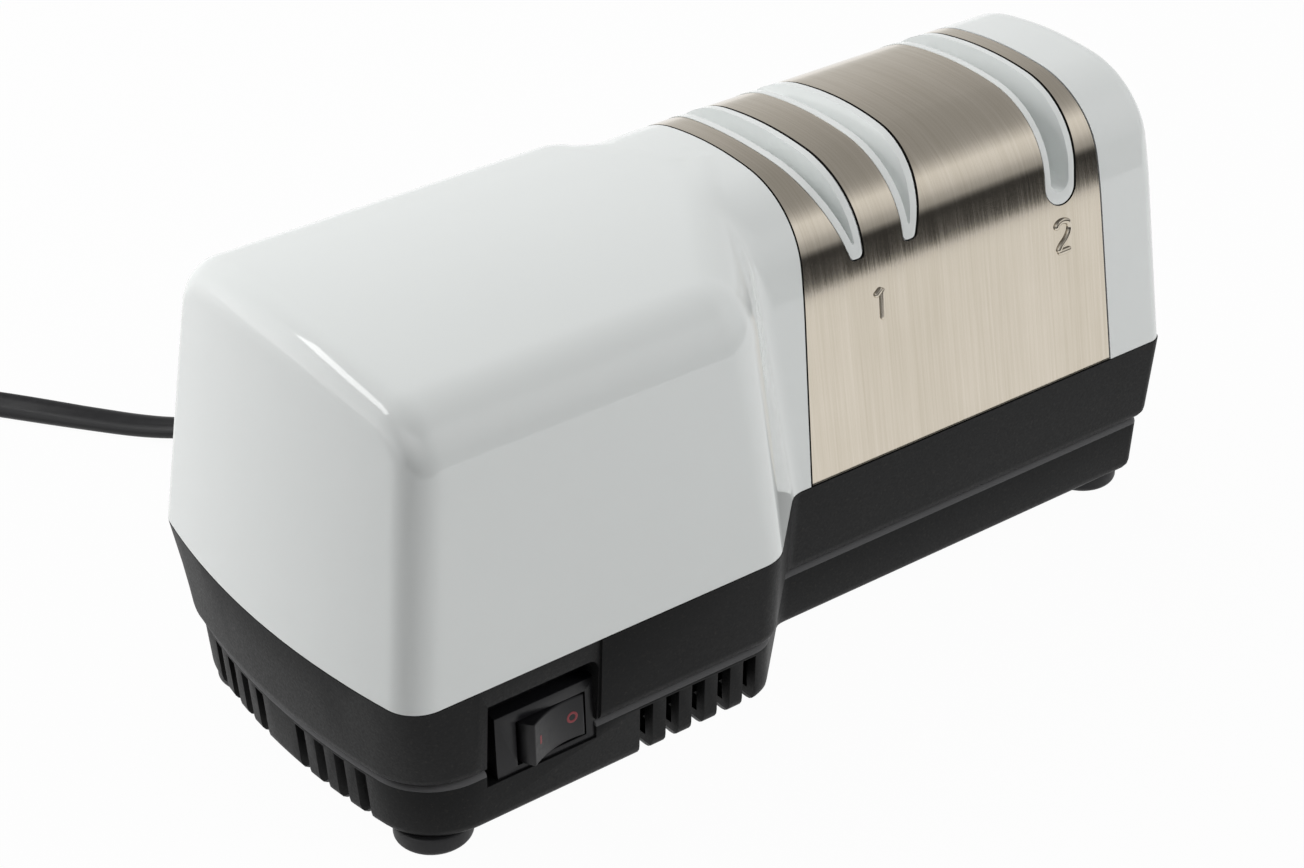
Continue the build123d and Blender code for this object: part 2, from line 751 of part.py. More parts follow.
def clean_out_screw_rods():
    return [rod((x, shaft_y, foot_height), (x, shaft_y, floor_top + 4.0), clean_out_screw_radius)
            for x in clean_out_screw_places()]


def clamp_screw_rods():
    top = cord_exit_z + clamp_height
    return [rod((cord_exit_x + side * clamp_screw_offset, clamp_y, top - 14.0),
                (cord_exit_x + side * clamp_screw_offset, clamp_y, top), clean_out_screw_radius) for side in (-1, 1)]


def pillar_screw_rods():
    return [rod((end_bearing_x + pillar_foot / 2, shaft_y + side * pillar_half * 0.6, foot_height + 1.0),
                (end_bearing_x + pillar_foot / 2, shaft_y + side * pillar_half * 0.6, floor_top + pillar_plate),
                clean_out_screw_radius) for side in (-1, 1)]


def carrier_screw_rods():
    y = (carrier_half_length + carrier_inner_half_length) / 2
    high = carrier_high + carrier_screw_reach
    return [rod((carrier_x, arch_y + side * y, carrier_low), (carrier_x, arch_y + side * y, high),
                carrier_screw_radius) for side in (-1, 1)]


# ---------------------------------------------------------------- small outside pieces

def make_foot(x, y):
    foot = turned([(0, 0), (0, foot_radius - 1.2), (1.2, foot_radius), (foot_height, foot_radius),
                   (foot_height, foot_peg_radius), (floor_top, foot_peg_radius), (floor_top + 1.5, 0)],
                  (0, 0, 0), (0, 0, 1))
    return Pos(x, y, 0) * foot


def screw(low, high, radius, head_radius, head_height):
    """A screw along +Z whose head sits below the point low."""
    shank = rod(low, high, radius)
    head = rod((low[0], low[1], low[2] - head_height), low, head_radius)
    return shank + head


def group(shapes):
    return Compound(children=list(shapes))


def make_cover_screws():
    screws = []
    for x, y in screw_places:
        screws.append(screw((x, y, screw_seat_z), (x, y, seam_height + screw_grip), screw_radius,
                            screw_head_radius, screw_head_height))
    return group(screws)


# ---------------------------------------------------------------- switch

def make_switch_body():
    bezel = box((switch_left, switch_face_y, switch_low), (switch_right, pocket_floor_y, switch_high))
    body = box((rocker_x - switch_body_half, pocket_floor_y, rocker_low - rocker_gap - switch_wall),
               (rocker_x + switch_body_half, switch_body_back, rocker_high + rocker_gap + switch_wall))
    well = rod((rocker_x, rocker_y, rocker_low - rocker_gap), (rocker_x, rocker_y, rocker_high + rocker_gap),
               rocker_radius + rocker_gap)
    pins = rod((rocker_x, rocker_y, rocker_low - trunnion_length), (rocker_x, rocker_y, rocker_high + trunnion_length),
               trunnion_radius + running_gap)
    return bezel + body - well - pins


def make_switch_terminals():
    tabs = []
    for side in (-1, 1):
        x = rocker_x + side * rocker_half * 0.7
        low = rocker_low + terminal_rise
        tabs.append(box((x - terminal_thickness / 2, switch_body_back, low),
                        (x + terminal_thickness / 2, switch_body_back + terminal_length, low + terminal_height)))
    return group(tabs)


def make_rocker():
    tip = -sqrt(rocker_radius ** 2 - rocker_half ** 2)
    notch = tip + rocker_half * tan(radians(rocker_face_tilt))
    wide = rocker_radius + 1
    front = make_face(Polyline((-wide, rocker_back), (-wide, tip), (-rocker_half, tip), (0, notch), (rocker_half, tip),
                               (wide, tip), (wide, rocker_back), close=True))
    profile = Circle(rocker_radius) & front
    profile = Rot(0, 0, rocker_swing) * profile
    rocker = Pos(rocker_x, rocker_y, rocker_low) * extrude(profile, rocker_high - rocker_low)
    pins = rod((rocker_x, rocker_y, rocker_low - trunnion_length), (rocker_x, rocker_y, rocker_high + trunnion_length),
               trunnion_radius)
    return rocker + pins


# ---------------------------------------------------------------- motor

def stack_screw_places():
    return [shaft_y + side * motor_screw_offset for side in (-1, 1)]


def make_shading_rings():
    """Copper loops round two pole tips, each of four round bars."""
    rings = []
    left = stack_left - shading_radius
    right = stack_right + shading_radius
    for side in (-1, 1):
        corners = []
        for dy, dz in ((shading_outer_y, shading_outer_z), (shading_inner_y, shading_inner_z)):
            corners.append((shaft_y + side * dy, shaft_z + side * dz))
        ring = None
        for y, z in corners:
            bar = rod((left - shading_radius, y, z), (right + shading_radius, y, z), shading_radius)
            ring = bar if ring is None else ring + bar
        for x in (left, right):
            ring = ring + rod((x, *corners[0]), (x, *corners[1]), shading_radius)
        rings.append(ring)
    return rings


def make_laminations(rings):
    face = Pos(shaft_y, (stack_bottom + stack_top) / 2) * RectangleRounded(
        stack_width, stack_top - stack_bottom, stack_round)
    face = face - Pos(shaft_y, shaft_z) * Circle(rotor_radius + air_gap)
    window = Pos(shaft_y, (window_low + window_high) / 2) * Rectangle(2 * window_half, window_high - window_low)
    bridge_low = window_high - pole_overlap
    bridge_high = shaft_z - rotor_radius - air_gap - bridge
    slit = Pos(shaft_y, (bridge_low + bridge_high) / 2) * Rectangle(slit_width, bridge_high - bridge_low)
    top_low = shaft_z + rotor_radius + air_gap + bridge
    top_high = stack_top + pole_overlap
    top = Pos(shaft_y, (top_low + top_high) / 2) * Rectangle(slit_width, top_high - top_low)
    face = face - window - slit - top
    for y in stack_screw_places():
        face = face - Pos(y, shaft_z) * Circle(motor_screw_radius + fit_gap)
    stack = prism_x(face, stack_left, stack_right)
    for ring in rings:
        stack = stack - ring
    return stack


def leg_sleeve(grow, half, corner):
    """A block round the winding's leg, grown by grow all round."""
    width = stack_length + 2 * grow
    height = window_low - stack_bottom + 2 * grow
    face = Pos((stack_left + stack_right) / 2, (stack_bottom + window_low) / 2) * RectangleRounded(width, height, corner)
    return prism_y(face, shaft_y - half, shaft_y + half)


def make_bobbin():
    flange = coil_half + bobbin_flange
    sleeve = leg_sleeve(fit_gap + bobbin_wall, flange, 1.0)
    for side in (-1, 1):
        plate = leg_sleeve(bobbin_wall + coil_build, bobbin_flange / 2, 3.0)
        sleeve = sleeve + Pos(0, side * (coil_half + bobbin_flange / 2), 0) * plate
    return sleeve - leg_sleeve(fit_gap, flange + 1, 0.3)


def make_coil():
    winding = leg_sleeve(fit_gap + bobbin_wall + coil_build - 0.6, coil_half, 6.0)
    return winding - leg_sleeve(fit_gap + bobbin_wall, coil_half + 1, 1.0)


def make_bracket(face_x, side):
    """Bridge plate that carries a shaft bearing, on two tubular legs."""
    near = face_x + side * bracket_standoff
    far = near + side * bracket_thickness
    middle = (near + far) / 2
    reach = motor_screw_offset + bracket_half_height * 0.75
    plate = Pos(shaft_y, shaft_z) * RectangleRounded(2 * reach, 2 * bracket_half_height, bracket_corner)
    bracket = prism_x(plate, min(near, far), max(near, far))
    bracket = bracket + rod((middle - bearing_length / 2, shaft_y, shaft_z), (middle + bearing_length / 2, shaft_y, shaft_z),
                            bracket_boss_radius)
    for y in stack_screw_places():
        bracket = bracket + rod((face_x, y, shaft_z), (near, y, shaft_z), motor_screw_radius + bracket_leg_wall)
    for y in stack_screw_places():
        bracket = bracket - rod((face_x - side, y, shaft_z), (far + side, y, shaft_z), motor_screw_radius + fit_gap)
    return bracket - bearing_rod(middle, bearing_length + 2, bearing_radius)


def bearing_rod(middle, length, radius):
    return rod((middle - length / 2, shaft_y, shaft_z), (middle + length / 2, shaft_y, shaft_z), radius)


def make_bearing(middle):
    ring = bearing_rod(middle, bearing_length, bearing_radius)
    return ring - bearing_rod(middle, bearing_length + 2, shaft_radius + running_gap)


def bracket_middle(side):
    face_x = stack_right if side > 0 else stack_left
    return face_x + side * (bracket_standoff + bracket_thickness / 2)


def make_motor_screws():
    reach = bracket_standoff + bracket_thickness
    screws = []
    for y in stack_screw_places():
        head = stack_left - reach - motor_screw_head
        nut_end = stack_right + reach + motor_nut_height
        bolt = rod((head, y, shaft_z), (nut_end + motor_screw_tail, y, shaft_z), motor_screw_radius)
        bolt = bolt + rod((head, y, shaft_z), (stack_left - reach, y, shaft_z), motor_screw_head_radius)
        nut = Pos(y, shaft_z) * RegularPolygon(motor_nut_radius, 6)
        screws.append(bolt + prism_x(nut, stack_right + reach, nut_end))
    return group(screws)


def make_rotor_core():
    low = stack_left - rotor_overhang
    high = stack_right + rotor_overhang
    return rod((low, shaft_y, shaft_z), (high, shaft_y, shaft_z), rotor_radius) - shaft_bar(0)


def make_end_rings():
    rings = []
    for x, side in ((stack_left - rotor_overhang, -1), (stack_right + rotor_overhang, 1)):
        far = x + side * end_ring_length
        ring = turned([(0, rotor_radius - 6.0), (0, rotor_radius - 0.5), (end_ring_length, rotor_radius - 1.0),
                       (end_ring_length, rotor_radius - 6.0)], (x, shaft_y, shaft_z), (side, 0, 0))
        rings.append(ring)
    return group(rings)


def shaft_bar(grow):
    return rod((shaft_left, shaft_y, shaft_z), (shaft_right, shaft_y, shaft_z), shaft_radius + grow)


def make_fan():
    middle = shaft_left + 0.5 + fan_width / 2
    low = middle - fan_width / 2
    high = middle + fan_width / 2
    fan = rod((low, shaft_y, shaft_z), (high, shaft_y, shaft_z), fan_hub_radius)
    span = fan_radius - fan_hub_radius + 1.0
    for k in range(fan_blades):
        blade = Pos(0, 0, fan_radius - span / 2) * Rot(0, 0, 55) * Box(fan_width * 1.4, fan_blade_thickness, span)
        fan = fan + Pos(middle, shaft_y, shaft_z) * Rot(k * 360 / fan_blades, 0, 0) * blade
    fan = fan & rod((low, shaft_y, shaft_z), (high, shaft_y, shaft_z), fan_radius)
    return fan - shaft_bar(0)


def make_pillar():
    """Upright that carries the shaft's far bearing in the sharpening section."""
    outline = Pos(shaft_y, (floor_top + shaft_z) / 2) * Rectangle(2 * pillar_half, shaft_z - floor_top)
    outline = outline + Pos(shaft_y, shaft_z) * Circle(pillar_half)
    pillar = prism_x(outline, end_bearing_x - pillar_plate / 2, end_bearing_x + pillar_plate / 2)
    pillar = pillar + bearing_rod(end_bearing_x, bearing_length, bracket_boss_radius)
    foot = box((end_bearing_x - pillar_plate / 2, shaft_y - pillar_half, floor_top),
               (end_bearing_x + pillar_foot, shaft_y + pillar_half, floor_top + pillar_plate))
    rib = make_face(Polyline((end_bearing_x, floor_top), (end_bearing_x + pillar_foot, floor_top),
                             (end_bearing_x + pillar_foot, floor_top + pillar_plate),
                             (end_bearing_x, shaft_z - bracket_boss_radius), close=True))
    pillar = pillar + foot + prism_y(rib, shaft_y - 1.5, shaft_y + 1.5)
    for hole in pillar_screw_rods():
        pillar = pillar - hole
    return pillar - bearing_rod(end_bearing_x, bearing_length + 2, bearing_radius)


def make_pillar_screws():
    screws = []
    for y in (shaft_y - pillar_half * 0.6, shaft_y + pillar_half * 0.6):
        x = end_bearing_x + pillar_foot / 2
        top = floor_top + pillar_plate
        shank = rod((x, y, foot_height + 1.0), (x, y, top), clean_out_screw_radius)
        screws.append(shank + rod((x, y, top), (x, y, top + 1.6), 2.4))
    return group(screws)


# ---------------------------------------------------------------- first stage

def make_disc(side):
    """Sprung steel disc: a hub that slides on the shaft, a web and a flat rim."""
    steel = disc_face - coat_thickness
    bore = shaft_radius + running_gap
    step = steel - 0.5
    back = steel - disc_rim_width + coat_thickness
    inner = disc_radius - disc_rim_depth
    points = [(hub_inner, bore), (hub_outer, bore), (hub_outer, hub_radius), (step, hub_radius), (step, inner),
              (steel, inner), (steel, disc_radius), (back, disc_radius), (back, inner + 2.0), (step - disc_web, inner + 2.0),
              (step - disc_web, hub_radius), (hub_inner, hub_radius)]
    return turned(points, (stage_one_x, shaft_y, shaft_z), (side, 0, 0))


def make_coat(side):
    steel = disc_face - coat_thickness
    inner = disc_radius - disc_rim_depth + 0.2
    points = [(steel, inner), (disc_face, inner), (disc_face, disc_radius - 0.2), (steel, disc_radius - 0.2)]
    return turned(points, (stage_one_x, shaft_y, shaft_z), (side, 0, 0))


def make_collar():
    """Fixed collar between the springs, with its cross pin's hole."""
    collar = bearing_like(stage_one_x - collar_half, stage_one_x + collar_half, collar_radius)
    return collar - cross_pin()


def bearing_like(low, high, radius):
    bar = rod((low, shaft_y, shaft_z), (high, shaft_y, shaft_z), radius)
    return bar - shaft_bar(0)


def cross_pin():
    return rod((stage_one_x, shaft_y, shaft_z - collar_radius), (stage_one_x, shaft_y, shaft_z + collar_radius),
               drive_pin_radius)


def make_clips():
    clips = []
    for side in (-1, 1):
        near = stage_one_x + side * (hub_outer + stop_play)
        far = near + side * clip_thickness
        clips.append(bearing_like(min(near, far), max(near, far), clip_radius))
    return group(clips)


def make_spring(side):
    """Compression spring between the collar and a disc's hub."""
    length = hub_inner - collar_half - 2 * spring_wire
    path = Helix(length / spring_turns, length, spring_radius)
    wire = Plane(origin=path @ 0, z_dir=path % 0) * Circle(spring_wire)
    coil = sweep(wire, path=path)
    start = stage_one_x + side * (collar_half + spring_wire)
    return Pos(start, shaft_y, shaft_z) * Rot(0, side * 90, 0) * coil


# ---------------------------------------------------------------- second stage

def wheel_direction():
    return (cos(radians(wheel_yaw)), sin(radians(wheel_yaw)), 0)


def make_wheel(side):
    """Coned wheel: with its twin it forms the V that the blade is drawn through."""
    bore = wheel_axle_radius + running_gap
    rise = (wheel_radius - wheel_root) * tan(radians(wheel_face_angle))
    points = [(wheel_gap, bore), (wheel_gap, wheel_root), (wheel_gap + rise, wheel_radius), (wheel_width, wheel_radius),
              (wheel_width, bore)]
    x, y, z = wheel_direction()
    return turned(points, (carrier_x, arch_y, wheel_axle_z), (side * x, side * y, z))


def axle_bar(radius, half):
    x, y, z = wheel_direction()
    return rod((carrier_x - half * x, arch_y - half * y, wheel_axle_z),
               (carrier_x + half * x, arch_y + half * y, wheel_axle_z), radius)


def make_carrier():
    outer = extrude(Pos(carrier_x, arch_y, carrier_low) * RectangleRounded(
        2 * carrier_half_width, 2 * carrier_half_length, 3.0), carrier_high - carrier_low)
    inner = extrude(Pos(carrier_x, arch_y, carrier_low - 1) * RectangleRounded(
        2 * carrier_inner_half_width, 2 * carrier_inner_half_length, 1.5), carrier_high - carrier_low + 2)
    carrier = outer - inner - axle_bar(wheel_axle_radius + fit_gap, carrier_half_width * 2)
    for hole in carrier_screw_rods():
        carrier = carrier - hole
    return carrier


def make_carrier_screws():
    y = (carrier_half_length + carrier_inner_half_length) / 2
    screws = []
    for side in (-1, 1):
        low = (carrier_x, arch_y + side * y, carrier_low)
        high = (low[0], low[1], carrier_high + carrier_screw_reach)
        screws.append(screw(low, high, carrier_screw_radius, small_head_radius, small_head_height))
    return group(screws)


# ---------------------------------------------------------------- clean-out

def make_clean_out_cover():
    door = clean_out_block(-fit_gap, 0, clean_out_thickness)
    for hole in clean_out_screw_rods():
        door = door - hole
    return door


def make_clean_out_screws():
    screws = []
    for x in clean_out_screw_places():
        shank = rod((x, shaft_y, foot_height), (x, shaft_y, floor_top + 4.0), clean_out_screw_radius)
        screws.append(shank + rod((x, shaft_y, foot_height - 1.4), (x, shaft_y, foot_height), 2.4))
    return group(screws)


def make_magnet():
    low = foot_height + clean_out_thickness
    return rod((clean_out_x, shaft_y, low), (clean_out_x, shaft_y, low + magnet_height), magnet_radius)


# ---------------------------------------------------------------- cord

def make_relief():
    """Moulded strain relief: a flange each side of the wall and a ribbed, tapering boot."""
    outside = exit_seat_y + relief_flange
    points = [(exit_inside_y - relief_flange, 0), (exit_inside_y - relief_flange, relief_neck_radius + 2.0),
              (exit_inside_y, relief_neck_radius + 2.0), (exit_inside_y, relief_neck_radius),
              (exit_seat_y, relief_neck_radius), (exit_seat_y, relief_flange_radius), (outside, relief_flange_radius)]
    step = (relief_length - relief_flange) / relief_ribs
    for k in range(relief_ribs):
        low = outside + k * step
        radius = relief_root_radius + (relief_tip_radius - relief_root_radius) * k / (relief_ribs - 1)
        points += [(low, radius - 1.0), (low + 0.4 * step, radius - 1.0), (low + 0.4 * step, radius), (low + step, radius)]
    points.append((exit_seat_y + relief_length, 0))
    return turned(points, (cord_exit_x, 0, cord_exit_z), (0, 1, 0))


def cord_tube(points, name):
    """Round tube along straight runs joined by tangent arcs, each as large as its runs allow."""
    radii = []
    for before, here, after in zip(points, points[1:], points[2:]):
        run_in = Vector(*here) - Vector(*before)
        run_out = Vector(*after) - Vector(*here)
        half_turn = radians(run_in.get_angle(run_out)) / 2
        radii.append(0.45 * min(run_in.length, run_out.length) / tan(half_turn))
    path = FilletPolyline(*points, radius=radii)
    section = Plane(origin=path @ 0, z_dir=path % 0) * Circle(cord_diameter / 2)
    tube = sweep(section, path=path)
    expected = pi * cord_diameter ** 2 / 4 * path.length
    print(name, "radii", [round(r, 1) for r in radii], "length", round(path.length, 1),
          "volume", round(tube.volume, 1), "section by length", round(expected, 1))
    return tube


def make_clamp():
    low = cord_exit_z
    bar = box((cord_exit_x - clamp_half, clamp_y - clamp_width / 2, low),
              (cord_exit_x + clamp_half, clamp_y + clamp_width / 2, low + clamp_height))
    bar = bar - rod((cord_exit_x, clamp_y - clamp_width, cord_exit_z), (cord_exit_x, clamp_y + clamp_width, cord_exit_z),
                    cord_diameter / 2)
    for hole in clamp_screw_rods():
        bar = bar - hole
    return bar


def make_clamp_screws():
    screws = []
    top = cord_exit_z + clamp_height
    for side in (-1, 1):
        x = cord_exit_x + side * clamp_screw_offset
        shank = rod((x, clamp_y, top - 14.0), (x, clamp_y, top), clean_out_screw_radius)
        screws.append(shank + rod((x, clamp_y, top), (x, clamp_y, top + 1.6), 2.3))
    return group(screws)


def ring_point(angle, radius, height):
    a = radians(angle)
    return (coil_centre[0] + radius * cos(a), coil_centre[1] + radius * sin(a), height)


def make_cord_coil():
    half = coil_rows * cord_diameter / 2
    height = cord_diameter * (1 + sqrt(3) / 2)
    section = Pos(coil_turn_radius, height / 2) * RectangleRounded(2 * half, height, 2.5)
    ring = revolve(Plane.XZ * section, Axis.Z)
    return Pos(coil_centre[0], coil_centre[1], 0) * ring


def plug_frame():
    """Where the cord enters the plug, and the way that the plug points."""
    entry = Vector(*tail_route[-1])
    before = Vector(*tail_route[-2])
    way = Vector(entry.X - before.X, entry.Y - before.Y, 0).normalized()
    return Plane(origin=entry, x_dir=way.cross(Vector(0, 0, 1)), z_dir=way)


def make_plug():
    frame = plug_frame()
    back = frame * RectangleRounded(plug_width * 0.5, plug_thickness * 0.62, 3.0)
    shoulder = frame * Pos(0, 0, plug_length * 0.4) * RectangleRounded(plug_width, plug_thickness, 4.0)
    front = frame * Pos(0, 0, plug_length) * RectangleRounded(plug_width, plug_thickness, 4.0)
    return loft([back, shoulder]) + loft([shoulder, front])


def make_blades():
    frame = plug_frame()
    blades = []
    for side in (-1, 1):
        blade = Pos(side * blade_spacing / 2, 0, plug_length + blade_length / 2) * Box(
            blade_thickness, blade_width, blade_length)
        hole = Pos(side * blade_spacing / 2, 0, plug_length + blade_length - 4.0) * Rot(0, 90, 0) * Cylinder(1.6, 4.0)
        blades.append(frame * (blade - hole))
    return group(blades)


# ---------------------------------------------------------------- everything in its place

def main():
    os.makedirs("parts", exist_ok=True)
    keep("base_tub", make_tub())
    keep("top_cover", make_cover())
    keep("steel_cover_plate", make_plate())
    for (x, y), name in zip(foot_places, ("back_left", "front_left", "front_right", "back_right")):
        keep("rubber_foot_" + name, make_foot(x, y))
    keep("cover_screws", make_cover_screws())
    keep("switch_body", make_switch_body())
    keep("switch_terminals", make_switch_terminals())
    keep("power_rocker", make_rocker())
    rings = make_shading_rings()
    keep("motor_laminations", make_laminations(rings))
    keep("shading_rings", group(rings))
    keep("coil_bobbin", make_bobbin())
    keep("motor_winding", make_coil())
    for side, name, face_x in ((-1, "rear", stack_left), (1, "front", stack_right)):
        keep(name + "_bearing_bracket", make_bracket(face_x, side))
        keep(name + "_bearing", make_bearing(bracket_middle(side)))
    keep("motor_screws", make_motor_screws())
    keep("end_bearing_pillar", make_pillar())
    keep("end_bearing", make_bearing(end_bearing_x))
    keep("pillar_screws", make_pillar_screws())
    keep("rotor_core", make_rotor_core())
    keep("rotor_end_rings", make_end_rings())
    keep("drive_shaft", shaft_bar(0) - cross_pin())
    keep("cooling_fan", make_fan())
    keep("spring_collar", make_collar())
    keep("collar_pin", cross_pin())
    keep("disc_clips", make_clips())
    for side, name in ((-1, "left"), (1, "right")):
        keep("sharpening_disc_" + name, make_disc(side))
        keep("abrasive_ring_" + name, make_coat(side))
        keep("disc_spring_" + name, make_spring(side))
        keep("honing_wheel_" + name, make_wheel(side))
    keep("honing_carrier", make_carrier())
    keep("honing_axle", axle_bar(wheel_axle_radius, carrier_half_width - 0.4))
    keep("carrier_screws", make_carrier_screws())
    keep("clean_out_cover", make_clean_out_cover())
    keep("clean_out_screws", make_clean_out_screws())
    keep("dust_magnet", make_magnet())
    keep("cord_clamp", make_clamp())
    keep("clamp_screws", make_clamp_screws())
    keep("inner_cord", rod((cord_exit_x, exit_inside_y - relief_flange - inner_cord_length, cord_exit_z),
                           (cord_exit_x, exit_inside_y - relief_flange, cord_exit_z), cord_diameter / 2))
    keep("strain_relief", make_relief())
    keep("cord_lead", cord_tube(lead_route, "cord_lead"))
    keep("cord_coil", make_cord_coil())
    keep("cord_tail", cord_tube(tail_route, "cord_tail"))
    keep("mains_plug", make_plug())
    keep("plug_blades", make_blades())
    for name, shape in parts.items():
        export_step(shape, "parts/" + name + ".step")


main()
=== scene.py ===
import json
from math import cos, pi, radians, sin, tan
import bmesh
import bpy
import numpy as np
from mathutils import Matrix, Vector


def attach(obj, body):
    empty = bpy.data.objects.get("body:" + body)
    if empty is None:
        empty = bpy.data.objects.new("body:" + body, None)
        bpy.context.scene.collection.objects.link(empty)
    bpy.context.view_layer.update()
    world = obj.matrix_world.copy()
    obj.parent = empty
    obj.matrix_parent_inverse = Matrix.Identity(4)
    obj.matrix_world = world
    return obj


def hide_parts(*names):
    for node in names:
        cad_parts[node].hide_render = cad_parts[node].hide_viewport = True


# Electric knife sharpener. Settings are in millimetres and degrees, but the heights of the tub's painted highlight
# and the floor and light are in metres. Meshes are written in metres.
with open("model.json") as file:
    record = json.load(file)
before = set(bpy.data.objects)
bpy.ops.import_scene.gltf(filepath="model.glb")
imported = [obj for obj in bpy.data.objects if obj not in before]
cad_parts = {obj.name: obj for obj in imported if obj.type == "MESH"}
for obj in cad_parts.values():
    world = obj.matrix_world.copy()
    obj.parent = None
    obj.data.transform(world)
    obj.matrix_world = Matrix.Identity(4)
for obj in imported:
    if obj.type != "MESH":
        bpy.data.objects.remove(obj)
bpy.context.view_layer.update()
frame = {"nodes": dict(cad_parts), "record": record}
mm = 0.001
scene = bpy.context.scene
print("frame loaded:", len(frame["nodes"]), "nodes")


def addObject(name, data):
    made = bpy.data.objects.new(name, data)
    scene.collection.objects.link(made)
    return made


# Camera
cameraSet = {
    "eye": (-368.93, -487.0, 409.33), "yaw": -36.082, "pitch": 30.696, "roll": -1.494, "lens": 80.16, "sensor": 36.0,
}


def makeCamera():
    yaw, pitch, roll = (radians(cameraSet[key]) for key in ("yaw", "pitch", "roll"))
    back = Vector((sin(yaw) * cos(pitch), -cos(yaw) * cos(pitch), sin(pitch)))
    level = Vector((cos(yaw), sin(yaw), 0))
    upright = back.cross(level)
    right = cos(roll) * level + sin(roll) * upright
    up = cos(roll) * upright - sin(roll) * level
    data = bpy.data.cameras.new("camera")
    data.sensor_fit = "HORIZONTAL"
    data.sensor_width = cameraSet["sensor"]
    data.lens = cameraSet["lens"]
    data.clip_start = 0.01
    camera = addObject("camera", data)
    turn = Matrix((right, up, back)).transposed().to_4x4()
    camera.matrix_world = Matrix.Translation(Vector(cameraSet["eye"]) * mm) @ turn
    scene.camera = camera


makeCamera()


class Wire:  # a node output that takes part in Python arithmetic
    def __init__(self, tree, socket):
        self.tree = tree
        self.socket = socket

    def math(self, operation, *values):
        node = self.tree.nodes.new("ShaderNodeMath")
        node.operation = operation
        for socket, value in zip(node.inputs, values):
            feed(self.tree, socket, value)
        return Wire(self.tree, node.outputs[0])

    def __add__(self, other):
        return self.math("ADD", self, other)

    def __sub__(self, other):
        return self.math("SUBTRACT", self, other)

    def __rsub__(self, other):
        return self.math("SUBTRACT", other, self)

    def __mul__(self, other):
        return self.math("MULTIPLY", self, other)

    def __gt__(self, other):
        return self.math("GREATER_THAN", self, other)

    __radd__ = __add__
    __rmul__ = __mul__


def feed(tree, socket, value):
    if isinstance(value, Wire):
        tree.links.new(value.socket, socket)
    else:
        socket.default_value = value


class Nodes:  # makes the nodes of one tree
    def __init__(self, owner):
        owner.use_nodes = True
        self.tree = owner.node_tree

    def node(self, kind, settings=None, sockets=None, output=0):
        made = self.tree.nodes.new("ShaderNode" + kind)
        for key, value in (settings or {}).items():
            setattr(made, key, value)
        for key, value in (sockets or {}).items():
            feed(self.tree, made.inputs[key], value)
        return Wire(self.tree, made.outputs[output])

    def seenBy(self):  # two links: 1 for the camera's rays, and 1 for rays from mirror-like surfaces
        return [self.node("LightPath", output=name) for name in ("Is Camera Ray", "Is Glossy Ray")]

    def end(self, name, socket, value):  # feeds a node that every tree has
        feed(self.tree, self.tree.nodes[name].inputs[socket], value)


class Finish(Nodes):  # one material: a Principled shader and what feeds it
    def __init__(self, name, colour, roughness, metallic=0.0, **constants):
        self.material = bpy.data.materials.new(name)
        super().__init__(self.material)
        self.set("Base Color", (*colour, 1.0))
        self.set("Roughness", roughness)
        self.set("Metallic", metallic)
        for key, value in constants.items():
            self.set(key.replace("_", " "), value)

    def set(self, name, value):
        self.end("Principled BSDF", name, value)

    def place(self, scale=(1, 1, 1)):
        here = self.node("TexCoord", output=3)
        return self.node("Mapping", None, {"Vector": here, "Scale": scale})

    def noise(self, scale, stretch=(1, 1, 1), detail=2.0, rough=0.5):
        sockets = {"Vector": self.place(stretch), "Scale": scale, "Detail": detail, "Roughness": rough}
        return self.node("TexNoise", None, sockets)

    def remap(self, value, low, high, toLow, toHigh):
        sockets = {"Value": value, "From Min": low, "From Max": high, "To Min": toLow, "To Max": toHigh}
        return self.node("MapRange", {"clamp": True}, sockets)

    def blendColours(self, share, first, second):  # each colour three numbers or a link
        first, second = (colour if isinstance(colour, Wire) else (*colour, 1.0) for colour in (first, second))
        return self.node("Mix", {"data_type": "RGBA"}, {0: share, 6: first, 7: second}, output=2)

    def vary(self, grain, colour, shares, roughness):  # from a darker to a lighter share of the colour
        dark, light = (tuple(channel * share for channel in colour) for share in shares)
        self.set("Base Color", self.blendColours(grain, dark, light))
        self.set("Roughness", self.remap(grain, 0.3, 0.7, *roughness))

    def bump(self, height, strength, distance):
        sockets = {"Height": height, "Strength": strength, "Distance": distance}
        self.set("Normal", self.node("Bump", None, sockets))


def glossWhite():
    made = Finish("glossWhite", (0.80, 0.825, 0.815), 0.06, IOR=1.5)
    drift = made.noise(18.0, detail=3.0)
    made.set("Base Color", made.blendColours(drift, (0.79, 0.815, 0.805), (0.81, 0.835, 0.825)))
    made.set("Roughness", made.remap(made.noise(60.0, detail=4.0), 0.3, 0.7, 0.045, 0.075))
    made.bump(made.noise(260.0, detail=1.0), 0.02, 0.0004)
    return made.material


# Painted highlight: the tub's colour is made lighter on its lower band's shoulder and along its bottom edge, between
# these heights in metres, where they catch the light.
paintedSheenSet = {"heights": [(0.0195, 0.0209), (0.00505, 0.0059)], "bandShare": 0.5, "rimGloss": 0.3}


